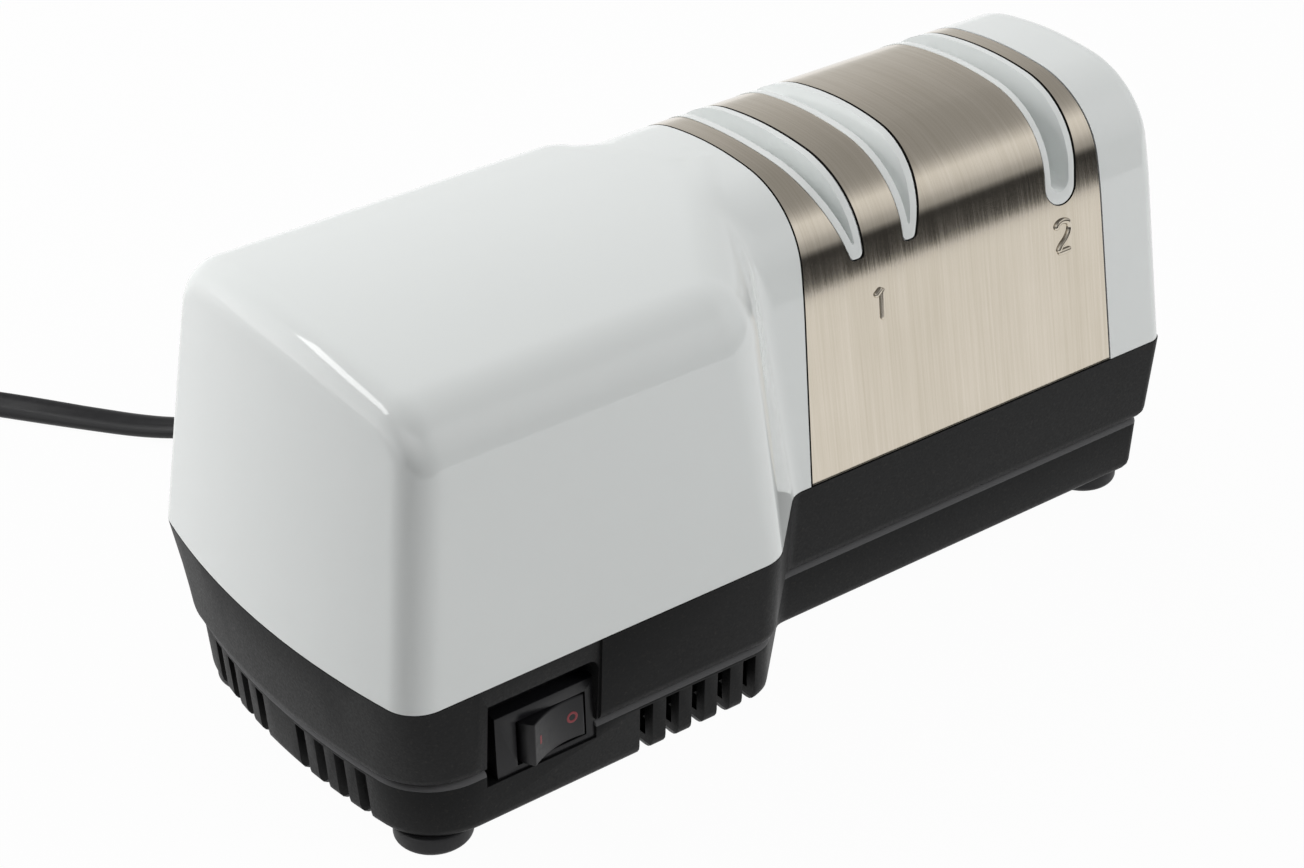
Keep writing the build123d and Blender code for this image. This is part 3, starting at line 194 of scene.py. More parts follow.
def texturedBlack():
    made = Finish("texturedBlack", (0.004, 0.0042, 0.0045), 0.5, IOR=1.24)
    grain = made.noise(1500.0, detail=3.0, rough=0.65)
    cloud = made.noise(35.0, detail=4.0)
    plain = made.blendColours(cloud, (0.0028, 0.003, 0.0033), (0.006, 0.0062, 0.0064))
    speck = made.remap(made.noise(1100.0, detail=2.0, rough=0.6), 0.58, 0.74, 0.0, 1.0)
    specked = made.blendColours(speck, plain, (0.013, 0.012, 0.011))
    height = made.node("SeparateXYZ", None, {0: made.node("TexCoord", output=3)}, output=2)
    between = [(height > low) * height.math("LESS_THAN", height, high) for low, high in paintedSheenSet["heights"]]
    band, rim = between
    paintedSheen = band * paintedSheenSet["bandShare"] + rim
    # painted highlight: the band's shoulder and the bottom rim blend towards a light grey
    made.set("Base Color", made.blendColours(paintedSheen, specked, (0.20, 0.20, 0.205)))
    made.set("Roughness", made.remap(grain + cloud * 0.3, 0.35, 0.9, 0.42, 0.6) - rim * paintedSheenSet["rimGloss"])
    made.bump(grain, 0.25, 0.00012)
    return made.material


def brushedStainless():
    made = Finish("brushedStainless", (0.61, 0.555, 0.465), 0.12, 1.0)
    fine = made.noise(1300.0, stretch=(1.0, 0.015, 0.015), detail=3.0, rough=0.7)
    broad = made.noise(150.0, stretch=(1.0, 0.05, 0.05), detail=3.0)
    blotch = made.noise(55.0, stretch=(1.0, 0.6, 0.6), detail=3.0, rough=0.6)
    mixed = fine * 0.5 + broad * 0.25 + blotch * 0.25
    edge = made.node("Attribute", {"attribute_name": "paintedShade"}, output=2)  # painted shade: above 0 on the plate's cut edges and the numerals' upward flanks
    grained = made.blendColours(made.remap(mixed, 0.36, 0.64, 0, 1), (0.565, 0.51, 0.42), (0.665, 0.605, 0.515))
    # painted shade: where the attribute is set, the steel's colour blends towards near black
    made.set("Base Color", made.blendColours(edge, grained, (0.012, 0.011, 0.010)))
    made.set("Roughness", made.remap(mixed, 0.36, 0.64, 0.09, 0.15))
    made.bump(fine + broad * 0.15, 0.26, 0.00006)
    return made.material


def softBlack(name, colour, roughness, grainScale, strength):
    made = Finish(name, colour, roughness, IOR=1.35)
    grain = made.noise(grainScale, detail=3.0)
    made.vary(grain, colour, (1.0, 1.35), (roughness - 0.06, roughness + 0.06))
    made.bump(grain, strength, 0.0001)
    return made.material


def workedMetal(name, colour, roughness, scale, stretch, strength=0.1):
    made = Finish(name, colour, roughness, 1.0)
    marks = made.noise(scale, stretch, detail=3.0, rough=0.6)
    made.vary(marks, colour, (0.82, 1.0), (roughness - 0.06, roughness + 0.08))
    made.bump(marks, strength, 0.00008)
    return made.material


def bandedMetal(name, colour, roughness, direction, wave, dark, light, bump):  # sheets or turns side by side
    made = Finish(name, colour, roughness, 1.0)
    bands = made.node("TexWave", {"bands_direction": direction}, {"Vector": made.place(), **wave})
    made.set("Base Color", made.blendColours(bands, dark, light))
    made.bump(bands, *bump)
    return made.material


def grit(name, dark, light, metallic):
    made = Finish(name, dark, 0.6, metallic)
    grains = made.node("TexVoronoi", None, {"Vector": made.place(), "Scale": 2600.0})
    made.set("Base Color", made.blendColours(grains, dark, light))
    made.set("Roughness", made.remap(grains, 0.0, 0.8, 0.35, 0.7))
    made.bump(grains, 0.5, 0.00015)
    return made.material


def mouldedLight(name, colour):
    made = Finish(name, colour, 0.42, IOR=1.49)
    made.vary(made.noise(90.0, detail=3.0), colour, (0.93, 1.0), (0.36, 0.48))
    made.bump(made.noise(700.0), 0.08, 0.00008)
    return made.material


finishes = {
    "white_plastic": glossWhite(),
    "black_plastic": texturedBlack(),
    "brushed_stainless": brushedStainless(),
    "switch_black": softBlack("switchBlack", (0.007, 0.007, 0.008), 0.34, 900.0, 0.05),
    "foot_rubber": softBlack("footRubber", (0.016, 0.016, 0.017), 0.55, 700.0, 0.15),
    "cord_pvc": softBlack("cordSkin", (0.014, 0.014, 0.015), 0.36, 420.0, 0.06),
    "zinc_steel": workedMetal("zincSteel", (0.62, 0.61, 0.57), 0.34, 300.0, (1, 1, 1)),
    "shaft_steel": workedMetal("groundSteel", (0.66, 0.66, 0.67), 0.2, 700.0, (1, 0.2, 0.2)),
    "disc_steel": workedMetal("turnedSteel", (0.55, 0.55, 0.56), 0.28, 420.0, (0.2, 1, 1)),
    "spring_steel": workedMetal("springSteel", (0.56, 0.56, 0.58), 0.26, 500.0, (1, 1, 1)),
    "cast_alloy": workedMetal("castAlloy", (0.66, 0.66, 0.67), 0.48, 600.0, (1, 1, 1), 0.3),
    "bronze": workedMetal("sinteredBronze", (0.55, 0.38, 0.20), 0.45, 1400.0, (1, 1, 1), 0.3),
    "terminal_brass": workedMetal("pressedBrass", (0.72, 0.56, 0.26), 0.26, 300.0, (1, 1, 0.2)),
    "blade_nickel": workedMetal("nickelBlade", (0.74, 0.71, 0.65), 0.2, 300.0, (1, 0.2, 1)),
    "lamination_steel": bandedMetal("laminated", (0.34, 0.35, 0.36), 0.42, "X", {"Scale": 320.0},
                                    (0.22, 0.225, 0.23), (0.40, 0.41, 0.42), (0.3, 0.0001)),
    "copper_wire": bandedMetal("woundCopper", (0.62, 0.27, 0.13), 0.28, "Y", {"Scale": 480.0, "Distortion": 0.4},
                               (0.42, 0.16, 0.07), (0.72, 0.33, 0.17), (0.5, 0.0002)),
    "diamond_coat": grit("diamondCoat", (0.22, 0.20, 0.18), (0.5, 0.48, 0.44), 0.6),
    "wheel_grit": grit("wheelGrit", (0.45, 0.42, 0.38), (0.72, 0.70, 0.66), 0.0),
    "magnet_black": grit("magnetBlack", (0.05, 0.05, 0.05), (0.12, 0.12, 0.12), 0.0),
    "bobbin_nylon": mouldedLight("bobbinNylon", (0.74, 0.70, 0.58)),
    "fan_plastic": mouldedLight("fanPlastic", (0.72, 0.72, 0.69)),
    "carrier_plastic": mouldedLight("carrierPlastic", (0.78, 0.78, 0.76)),
}
markRed = mouldedLight("markRed", (0.22, 0.022, 0.03))
slotOf = {part["node"]: part["material_slot"] for part in frame["record"]["subparts"]}
for nodeName, cadObject in frame["nodes"].items():
    cadObject.data.materials.clear()
    cadObject.data.materials.append(finishes[slotOf[nodeName]])
print("finishes:", len(finishes))


def gridQuads(rows, columns, loopRows=False, loopColumns=False):  # quads between neighbouring grid points
    first = np.arange(rows if loopRows else rows - 1)
    second = np.arange(columns if loopColumns else columns - 1)
    i, j = np.meshgrid(first, second, indexing="ij")
    nextI, nextJ = (i + 1) % rows, (j + 1) % columns
    corners = [i * columns + j, nextI * columns + j, nextI * columns + nextJ, i * columns + nextJ]
    return np.stack([corner.ravel() for corner in corners], axis=1)


def unit(vectors):
    return vectors / np.linalg.norm(vectors, axis=-1, keepdims=True)


def ways(angles):  # directions in the plane
    return np.stack([np.cos(angles), np.sin(angles)], axis=1)


def fullTurn(count):
    return np.linspace(0, 2 * pi, count, endpoint=False)


def runAlong(points):  # distance along a line at each of its points
    return np.concatenate([[0], np.cumsum(np.linalg.norm(np.diff(points, axis=0), axis=1))])


def meshObject(name, points, faces):  # points in millimetres, faces as lists or an array of indices
    mesh = bpy.data.meshes.new(name)
    faces = faces.tolist() if isinstance(faces, np.ndarray) else faces
    mesh.from_pydata((np.asarray(points, float) * mm).tolist(), [], faces)
    return addObject(name, mesh)


def weld(piece, distance, outward=False):  # merges doubles and drops what collapses
    work = bmesh.new()
    work.from_mesh(piece.data)
    bmesh.ops.remove_doubles(work, verts=work.verts, dist=distance * mm)
    bmesh.ops.dissolve_degenerate(work, edges=work.edges, dist=distance * mm * 0.5)
    if outward:
        bmesh.ops.recalc_face_normals(work, faces=work.faces)
    work.to_mesh(piece.data)
    work.free()
    return piece


def prism(name, outline, axis, low, high):  # an outline in the other two coordinates, carried along an axis
    count = len(outline)
    ends = [np.insert(outline, axis, value, axis=1) for value in (low, high)]
    faces = gridQuads(2, count, loopColumns=True).tolist()
    faces += [list(range(count)), list(range(2 * count - 1, count - 1, -1))]
    return weld(meshObject(name, np.concatenate(ends), faces), 0.0005, outward=True)


def mergePieces(name, pieces):
    mesh = bmesh.new()
    for piece in pieces:
        mesh.from_mesh(piece.data)
        bpy.data.objects.remove(piece)
    made = meshObject(name, np.zeros((0, 3)), [])
    mesh.to_mesh(made.data)
    mesh.free()
    return made


def applyModifiers(piece):
    bpy.context.view_layer.update()
    made = bpy.data.meshes.new_from_object(piece.evaluated_get(bpy.context.evaluated_depsgraph_get()))
    piece.modifiers.clear()
    piece.data = made
    return piece


def combine(piece, tool, operation):  # cuts with a tool and removes it
    cut = piece.modifiers.new(operation.lower(), "BOOLEAN")
    cut.operation = operation
    cut.solver = "EXACT"
    cut.object = tool
    applyModifiers(piece)
    bpy.data.objects.remove(tool)
    return piece


def markFaces(piece, chosen, level=1.0):  # sets a painted shade level on the faces chosen by their centres and normals
    mesh = piece.data
    centres, normals = np.empty(len(mesh.polygons) * 3), np.empty(len(mesh.polygons) * 3)
    mesh.polygons.foreach_get("center", centres)
    mesh.polygons.foreach_get("normal", normals)
    picked = chosen(centres.reshape(-1, 3) / mm, normals.reshape(-1, 3))
    mesh.attributes.new("paintedShade", "FLOAT", "FACE").data.foreach_set("value", (picked * level).astype(np.float32))


def smooth(piece, angle=30.0):
    piece.data.shade_smooth()
    piece.data.set_sharp_from_angle(angle=radians(angle))
    return piece


def bevelEdges(piece, width, segments, angle=35.0):
    edge = piece.modifiers.new("edge", "BEVEL")
    edge.width = width * mm
    edge.segments = segments
    edge.limit_method = "ANGLE"
    edge.angle_limit = radians(angle)
    edge.use_clamp_overlap = True
    edge.miter_outer = "MITER_ARC"
    return applyModifiers(piece)


def dress(piece, body, slotName, *nodes):  # finish, body and the nodes that a piece stands for
    piece.data.materials.clear()
    piece.data.materials.append(finishes[slotName])
    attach(piece, body)
    if nodes:
        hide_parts(*nodes)
    return piece


def refined(nodeName, name, bevel, angle=30.0, segments=2):  # a merged copy of a CAD node with rounded edges
    made = addObject(name, frame["nodes"][nodeName].data.copy())
    weld(made, 0.002)
    work = bmesh.new()
    work.from_mesh(made.data)
    bmesh.ops.dissolve_limit(work, angle_limit=radians(0.6), verts=work.verts, edges=work.edges)
    work.to_mesh(made.data)
    work.free()
    bevelEdges(made, bevel, segments, angle)
    smooth(made, angle)
    return dress(made, "root", slotOf[nodeName], nodeName)


# Cord: a lead over the table, a put-away coil, and a tail to the plug
cordSet = {
    "lead": [(-44, 83, 33), (-44, 98, 33), (-46, 116, 27), (-51, 130.5, 15), (-59.5, 143, 6), (-70.5, 156.5, 3.5),
             (-85, 176, 3.5), (-97.5, 193, 3.5), (-110, 209, 3.5), (-120.5, 226, 3.5)],
    "tail": [(-133, 238.5, 9.6), (-144, 249.5, 9), (-158.5, 256.5, 6), (-179, 258.5, 3.6), (-198.5, 250, 4.6),
             (-211.5, 235.5, 8.5), (-218.5, 219.5, 8.5)],
    "coilCentre": (-161, 207), "joinAngle": 40.0, "pointsPerTurn": 14,
    "rings": [(45.5, 3.5), (38.5, 3.5), (31.5, 3.5), (35.0, 9.56), (42.0, 9.56)],
    "width": 7.2, "thickness": 4.4, "groove": 0.12, "grooveWidth": 0.7, "around": 28,
    # degrees that the section is rolled, at these runs of the line, and where it comes to rest on the table
    "rollAt": [0, 60, 110, 150, 185, 230, 300], "roll": [0, 0, 25, 60, 75, 20, 0], "lieFrom": 60, "lie": 3.5,
}


def coilPoints():  # turns that pass from each ring to the next over a quarter turn
    turns = len(cordSet["rings"])
    steps = cordSet["pointsPerTurn"]
    turnPart = np.arange(1, turns * steps) / steps
    radius, height = np.array(cordSet["rings"]).T
    ring = np.clip(np.floor(turnPart), 0, turns - 1).astype(int)
    following = np.clip(ring + 1, 0, turns - 1)
    into = np.clip((turnPart - ring - 0.75) / 0.25, 0, 1)
    into = into * into * (3 - 2 * into)
    angle = radians(cordSet["joinAngle"]) + 2 * pi * turnPart
    r = radius[ring] * (1 - into) + radius[following] * into
    z = height[ring] * (1 - into) + height[following] * into
    cx, cy = cordSet["coilCentre"]
    return list(zip(cx + r * np.cos(angle), cy + r * np.sin(angle), z))


def nurbsLine(name, points):  # the points of a NURBS line, read back from the curve
    curve = bpy.data.curves.new(name, "CURVE")
    curve.dimensions = "3D"
    spline = curve.splines.new("NURBS")
    spline.points.add(len(points) - 1)
    for point, place in zip(spline.points, points):
        point.co = (*(value * mm for value in place), 1.0)
    spline.order_u = 3
    spline.use_endpoint_u = True
    curve.resolution_u = 8
    holder = addObject(name, curve)
    bpy.context.view_layer.update()
    drawn = bpy.data.meshes.new_from_object(holder)
    line = np.array([vertex.co for vertex in drawn.vertices]) / mm
    bpy.data.objects.remove(holder)
    return line


def makeCord():
    # A twin flex: an oval section with a shallow groove, carried along the line and slowly rolled about it.
    line = nurbsLine("cordLine", cordSet["lead"] + coilPoints() + cordSet["tail"])
    run = runAlong(line)
    along = unit(np.gradient(line, axis=0))
    side = unit(np.cross(along, (0, 0, 1)))
    over = np.cross(side, along)
    roll = np.interp(run, cordSet["rollAt"], np.radians(cordSet["roll"]))[:, None, None]
    wide, thick = cordSet["width"] / 2, cordSet["thickness"] / 2
    rest = np.hypot(wide * np.sin(roll), thick * np.cos(roll))[:, 0, 0]
    lying = np.maximum(rest, line[:, 2] - cordSet["lie"] + rest)
    line[:, 2] = np.where(run > cordSet["lieFrom"], lying, line[:, 2])
    count = cordSet["around"]
    turn = fullTurn(count)
    across = wide * np.cos(turn)
    rise = thick * np.sign(np.sin(turn)) * np.abs(np.sin(turn)) ** 0.8
    rise = rise * (1 - cordSet["groove"] * np.exp(-(across / cordSet["grooveWidth"]) ** 2))
    left = across[None, :, None] * (np.cos(roll) * side[:, None] + np.sin(roll) * over[:, None])
    top = rise[None, :, None] * (np.cos(roll) * over[:, None] - np.sin(roll) * side[:, None])
    points = (line[:, None] + left + top).reshape(-1, 3)
    faces = gridQuads(len(line), count, loopColumns=True)[:, ::-1].tolist()
    faces += [list(range(count)), list(range(len(points) - 1, len(points) - count - 1, -1))]
    cord = weld(meshObject("mainsCord", points, faces), 0.001, outward=True)
    smooth(cord, 60)
    dress(cord, "root", "cord_pvc", "cord_lead", "cord_coil", "cord_tail")
    print("cord runs", round(run[-1]), "mm")
    return cord, line, run[-1]


mainsCord, cordLine, cordRun = makeCord()

# Cover: each form gives a distance outside it, and an inset moves its skin inwards
coverSet = {
    "length": 250.0, "motorFront": -55.0, "back": 55.0, "archFront": -35.0, "crown": 117.2, "seam": 45.0,
    "endSag": 6.2, "kinkX": 1.5, "endRound": 9.0, "kinkCorner": 10.0, "kinkGrowth": 8.0,
    "endDraft": 9.0, "sideDraft": 4.4, "crownRadius": 205.0, "crownY": 3.0, "motorRise": 0.1, "shoulder": 17.0,
    # the motor housing's right wall: where it leaves the front, what it aims at, how far both move by the crown
    "wallStart": 20.0, "startTurn": 3.5, "wallReach": 15.0, "wallTurn": 14.5, "wallPush": 7.0,
    "rearKink": 1.5, "rearTurn": 6.0, "rearLean": 10.0, "rearReach": 20.0,
    "archDraft": 8.9, "archShoulder": 23.3, "archCrownRadius": 108.0, "archEndRound": 4.5, "archStart": -20.0,
    "valley": 7.0, "softValley": 70.0, "softFrom": 0.8, "softSpan": 0.2,
    "bendFrom": 86.0, "bendLength": 14.0, "bend": 0.09, "dip": 0.6, "dipFrom": 6.0, "dipLength": 24.0,
    "wall": 2.6, "seamRound": 0.35, "plateLeft": 6.9, "plateRight": 105.8, "plateLean": 0.072, "plateThickness": 0.8,
    "plateClear": 0.05, "leanFade": 30.0, "spineLeft": -75.0, "spineEnd": 12.0, "spineY": 3.0,
    # of the grid: spacing, columns of the two end fans, and some rows with their angles above the seam in degrees
    "step": 1.2, "rightFan": 150, "leftFan": 260, "skinRows": [(0, 0), (6, 0.5), (40, 42), (120, 78), (134, 90)],
    "liningRows": [(0, 0), (12, 42), (38, 78), (42, 90)],
    # of the search for the surface: farthest distance and number of halvings, for the grid and for one section
    "gridReach": 160.0, "gridHalvings": 25, "lineReach": 200.0, "lineHalvings": 44,
}
c = coverSet
archY = (c["archFront"] + c["back"]) / 2
motorHalf = (c["back"] - c["motorFront"]) / 2
bowRadius = (motorHalf ** 2 + c["endSag"] ** 2) / (2 * c["endSag"])
nudge = 0.02  # step of a slope
farOutside = 1000.0


def arcBetween(a, b, together):  # length of a vector whose parts along two slanted unit normals are a and b
    together = np.clip(together, -0.999, 0.9999)
    slanted = np.sqrt(np.maximum(a * a + b * b - 2 * a * b * together, 0) / (1 - together ** 2))
    between = (a > b * together) & (b > a * together)
    return slanted, between


def meetRound(a, b, radius, together=0.0):
    # Two faces meet: the solid is inside both, and the edge is an arc. together is the cosine between their normals.
    arc, between = arcBetween(a + radius, b + radius, together)
    return np.where(between, arc, np.maximum(a, b) + radius) - radius


def joinRound(a, b, radius, together):
    # Two forms join: the solid is in either, and the valley between them is an arc.
    arc, between = arcBetween(radius - a, radius - b, together)
    return np.where(between & (a < radius) & (b < radius), radius - arc, np.minimum(a, b))


def wallPlan(x, y, z):
    # Distance outside the motor housing's drafted sides and its right wall, which twists as it rises.
    rise = z - c["seam"]
    share = rise / (c["crown"] - c["seam"])
    side = rise * tan(radians(c["sideDraft"]))
    slope = cos(radians(c["sideDraft"]))
    front = (c["motorFront"] + side - y) * slope
    back = (y - c["back"] + side) * slope
    startX = c["kinkX"] - c["wallStart"] - c["startTurn"] * share
    startY = c["motorFront"] + side
    aimX = c["kinkX"] + c["wallReach"] - c["wallTurn"] * share - startX
    aimY = c["archFront"] + c["wallReach"] + c["wallPush"] * share - startY
    aim = np.hypot(aimX, aimY)
    right = ((x - startX) * aimY - (y - startY) * aimX) / aim
    rearX = c["kinkX"] - c["rearKink"] - c["rearTurn"] * share
    rearY = c["back"] - side
    leanX = c["rearLean"] - share
    leanY = rearY - archY - c["rearReach"]
    lean = np.hypot(leanX, leanY)
    rear = ((x - rearX) * leanY + (y - rearY) * leanX) / lean
    kinkRound = c["kinkCorner"] + c["kinkGrowth"] * share
    plan = meetRound(front, right, kinkRound, aimX / aim)
    return np.maximum(plan, meetRound(back, rear, kinkRound, leanX / lean))


def wallSection(x, y, z, inset):
    # Distance outside the walls once they roll into a shallow crown.
    plan = wallPlan(x, y, z)
    planY = (wallPlan(x, y + nudge, z) - plan) / nudge
    planZ = (wallPlan(x, y, z + nudge) - plan) / nudge
    crownZ = z - c["crown"] - c["motorRise"] + c["crownRadius"]
    reach = np.hypot(y - c["crownY"], crownZ)
    together = (planY * (y - c["crownY"]) + planZ * crownZ) / reach
    return meetRound(plan + inset, reach - c["crownRadius"] + inset, c["shoulder"] - inset, together)


def motorForm(x, y, z, inset):
    # Distance outside the motor housing: its section, met by a bowed end under one round.
    section = wallSection(x, y, z, inset)
    sectionX = (wallSection(x + nudge, y, z, inset) - section) / nudge
    sectionY = (wallSection(x, y + nudge, z, inset) - section) / nudge
    sectionZ = (wallSection(x, y, z + nudge, inset) - section) / nudge
    draft = radians(c["endDraft"])
    bowX = (z - c["seam"]) * tan(draft) - c["length"] / 2 + bowRadius
    away = np.hypot(x - bowX, y)
    end = np.where(x > bowX, -bowRadius, (away - bowRadius) * cos(draft))
    together = (sectionX * (x - bowX) + sectionY * y) / away * cos(draft) + sectionZ * sin(draft)
    return meetRound(section, end + inset, c["endRound"] - inset, together)


def archForm(x, y, z, inset):
    # Distance outside the sharpening section: drafted front and back that bend in a little near the top, a round
    # shoulder, a crown that dips towards the motor housing, and a rounded right end.
    away = np.abs(y - archY)
    draft = radians(c["archDraft"])
    high = np.clip(z - c["bendFrom"], 0, c["bendLength"])
    bend = c["bend"] * (high * high / (2 * c["bendLength"]) + np.maximum(z - c["bendFrom"] - c["bendLength"], 0))
    wall = (away - (c["back"] - c["archFront"]) / 2 + bend) * cos(draft) + (z - c["seam"]) * sin(draft)
    dip = np.clip((c["dipFrom"] - x) / c["dipLength"], 0, 1)
    crownZ = z - c["crown"] + c["dip"] * dip * dip * (3 - 2 * dip) + c["archCrownRadius"]
    reach = np.hypot(away, crownZ)
    together = (away * cos(draft) + crownZ * sin(draft)) / reach
    section = meetRound(wall + inset, reach - c["archCrownRadius"] + inset, c["archShoulder"] - inset, together)
    end = x - c["length"] / 2 + inset
    return np.where(x < c["archStart"], farOutside, meetRound(section, end, c["archEndRound"]))


def slopes(form, x, y, z, inset, value):  # unit gradient of a form
    parts = [form(x + nudge, y, z, inset), form(x, y + nudge, z, inset), form(x, y, z + nudge, inset)]
    gradient = np.stack([(part - value) for part in parts])
    return gradient / np.maximum(np.linalg.norm(gradient, axis=0), 1e-9)


def coverForm(x, y, z, inset):
    motor = motorForm(x, y, z, inset)
    arch = archForm(x, y, z, inset)
    together = (slopes(motorForm, x, y, z, inset, motor) * slopes(archForm, x, y, z, inset, arch)).sum(axis=0)
    # nearly parallel surfaces run into each other over a wide arc
    soft = np.clip((together - c["softFrom"]) / c["softSpan"], 0, 1) ** 2
    joined = joinRound(motor, arch, c["valley"] + c["softValley"] * soft, together)
    return meetRound(joined, c["seam"] - z, c["seamRound"])


def leaveSolid(form, reach, inset, far, halvings):  # the places where rays leave a solid, found by halving
    near = 0 * far
    for _ in range(halvings):
        middle = (near + far) / 2
        outside = form(*reach(middle), inset) > 0
        far, near = np.where(outside, middle, far), np.where(outside, near, middle)
    return reach(middle)


def castRays(start, aim, lean, inset, rises):  # each column of the cover's grid is a fan of rays from the spine
    level, climb = np.cos(rises)[None], np.sin(rises)[None]

    def reach(distance):
        x = start[:, :1] + distance * level * aim[:, :1] + lean[:, None] * distance * climb
        y = start[:, 1:] + distance * level * aim[:, 1:]
        return x, y, c["seam"] + distance * climb

    far = np.full((len(start), len(rises)), c["gridReach"])
    return np.stack(leaveSolid(coverForm, reach, inset[:, None], far, c["gridHalvings"]), axis=2)


def makeCoverGrid(depth):
    step, left, right = c["step"], c["spineLeft"], c["length"] / 2 - c["spineEnd"]
    edgeLeft, edgeRight = c["plateLeft"], c["plateRight"]
    straight = np.concatenate([
        np.arange(left, edgeLeft - step / 2, step), [edgeLeft, edgeLeft + 0.003],
        np.arange(edgeLeft + step, edgeRight - step / 2, step * 1.6), [edgeRight - 0.003, edgeRight],
        np.arange(edgeRight + step / 2, right, step / 2)])
    fan = np.radians(np.linspace(-90, 90, c["rightFan"])[:-1])
    endFan = np.radians(np.linspace(90, 270, c["leftFan"])[:-1])
    x = np.concatenate([straight, np.full(len(fan), right), straight[::-1], np.full(len(endFan), left)])
    aimX = np.concatenate([0 * straight, np.cos(fan), 0 * straight, np.cos(endFan)])
    aimY = np.concatenate([0 * straight - 1, np.sin(fan), 0 * straight + 1, np.sin(endFan)])
    near = np.clip(1 - np.abs(x - edgeLeft) / c["leanFade"], 0, 1)
    inBand = (x > edgeLeft + 0.001) & (x < edgeRight - 0.001)
    inset = np.where(inBand, c["plateThickness"] + c["plateClear"], 0.0) + depth
    start = np.stack([x, np.full(len(x), c["spineY"])], axis=1)
    aim = np.stack([aimX, aimY], axis=1)
    rows, angles = np.array(c["liningRows"] if depth else c["skinRows"]).T
    rises = np.radians(np.interp(np.arange(rows[-1] + 1), rows, angles))
    return castRays(start, aim, c["plateLean"] * near, inset, rises)


def makeCover():
    outside = makeCoverGrid(0.0)
    inside = makeCoverGrid(c["wall"])
    columns, rows = outside.shape[:2]
    innerRows = inside.shape[1]
    size = columns * rows
    skin = gridQuads(columns, rows, loopRows=True)
    lining = gridQuads(columns, innerRows, loopRows=True)[:, ::-1] + size
    here = np.arange(columns)
    after = (here + 1) % columns
    rim = np.stack([here * rows, size + here * innerRows, size + after * innerRows, after * rows], axis=1)
    points = np.concatenate([outside.reshape(-1, 3), inside.reshape(-1, 3)])
    return weld(meshObject("coverShell", points, np.concatenate([skin, lining, rim])), 0.001, outward=True)


cover = makeCover()
print("cover grid:", len(cover.data.polygons), "faces")

# Slots, lips and plate
slotSet = {
    "middle": 35.3, "inner": 6.4, "outer": 16.8, "tilt": 18.8, "tip": 96.3, "tipRound": 1.5, "lip": 1.9, "block": 3.5,
    "uMiddle": 94.5, "uTopHalf": 5.4, "uLowHalf": 4.7, "uLow": 95.4, "uTilt": 6.0, "uLip": 1.7, "uBlock": 1.4,
    "depth": 12.0, "above": 6.0, "edge": 0.5, "proud": 0.15, "lipsLeft": 12.0, "lipsRight": 108.0, "coverGap": 0.3,
    "plateGap": 0.5, "plateShift": 0.4, "sideGap": 0.5, "barFront": -60.0, "barBack": 80.0, "across": 0.6,
}
s = slotSet


def roundedOutline(corners, radii, steps=10):  # a polygon whose corners are arcs
    corners = np.array(corners, float)
    before = np.roll(corners, 1, axis=0) - corners
    after = np.roll(corners, -1, axis=0) - corners
    points = []
    for corner, back, ahead, radius in zip(corners, before, after, radii):
        if radius <= 0:
            points.append(corner)
            continue
        back, ahead = back / np.linalg.norm(back), ahead / np.linalg.norm(ahead)
        half = np.arccos(np.clip(back @ ahead, -1, 1)) / 2
        middle = corner + (back + ahead) / np.linalg.norm(back + ahead) * radius / sin(half)
        first = corner + back * radius / tan(half) - middle
        last = corner + ahead * radius / tan(half) - middle
        start = np.arctan2(first[1], first[0])
        sweep = (np.arctan2(last[1], last[0]) - start + pi) % (2 * pi) - pi
        angles = start + sweep * np.linspace(0, 1, steps)
        points += list(middle + radius * ways(angles))
    return np.array(points)


def leanSlot(shrink, side):  # a first-stage slot in (x, z), upright beside the disc; its hollow ends above a solid tip
    slope = tan(radians(s["tilt"]))
    top, bottom = c["crown"] + s["above"], s["tip"] + (s["block"] if shrink > 1 else shrink)
    inner = s["inner"] + shrink
    lowOuter = s["outer"] - shrink / cos(radians(s["tilt"])) - (c["crown"] - bottom) * slope
    highOuter = lowOuter + (top - bottom) * slope
    corner = min(s["tipRound"], 0.4 * (lowOuter - inner))
    corners = [(inner, bottom), (lowOuter, bottom), (highOuter, top), (inner, top)]
    outline = roundedOutline(corners, [corner, corner, 0, 0])
    return np.stack([s["middle"] + side * outline[:, 0], outline[:, 1]], axis=1)


def roundSlot(shrink):  # the second-stage slot in (x, z): a tall U that leans a little
    top = c["crown"] + s["above"] - s["uLow"]
    low = s["uLowHalf"] - shrink
    high = s["uTopHalf"] - shrink + s["above"] * (s["uTopHalf"] - s["uLowHalf"]) / (c["crown"] - s["uLow"])
    arc = np.radians(np.linspace(180, 360, 33))
    outline = np.concatenate([low * ways(arc), [(high, top), (-high, top)]])
    lean = radians(s["uTilt"])
    turned = outline @ np.array([[cos(lean), -sin(lean)], [sin(lean), cos(lean)]])
    floor = s["uLow"] + (s["uBlock"] if shrink > 1 else 0)
    return turned + (s["uMiddle"] - (c["crown"] - floor) * tan(lean), floor)


def slotBars(shrink, uShrink, shift=0.0):
    outlines = [leanSlot(shrink, -1), leanSlot(shrink, 1), roundSlot(uShrink)]
    bars = [prism("bar", outline + (shift, 0), 1, s["barFront"], s["barBack"]) for outline in outlines]
    return mergePieces("bars", bars)


midX = 60.0  # where the arch's section is taken


def archLine(inset, count, low):  # points of the arch's section at a depth, from front seam over the crown to the back
    rises = np.radians(np.linspace(0, 180, 721))

    def reach(distance):
        return 0 * rises + midX, archY - distance * np.cos(rises), c["seam"] + distance * np.sin(rises)

    y, z = leaveSolid(archForm, reach, inset, 0 * rises + c["lineReach"], c["lineHalvings"])[1:]
    run = np.concatenate([[0], np.cumsum(np.hypot(np.diff(y), np.diff(z)))])
    even = np.linspace(0, run[-1], count)
    y, z = np.interp(even, run, y), np.interp(even, run, z)
    return y, np.maximum(z, low)


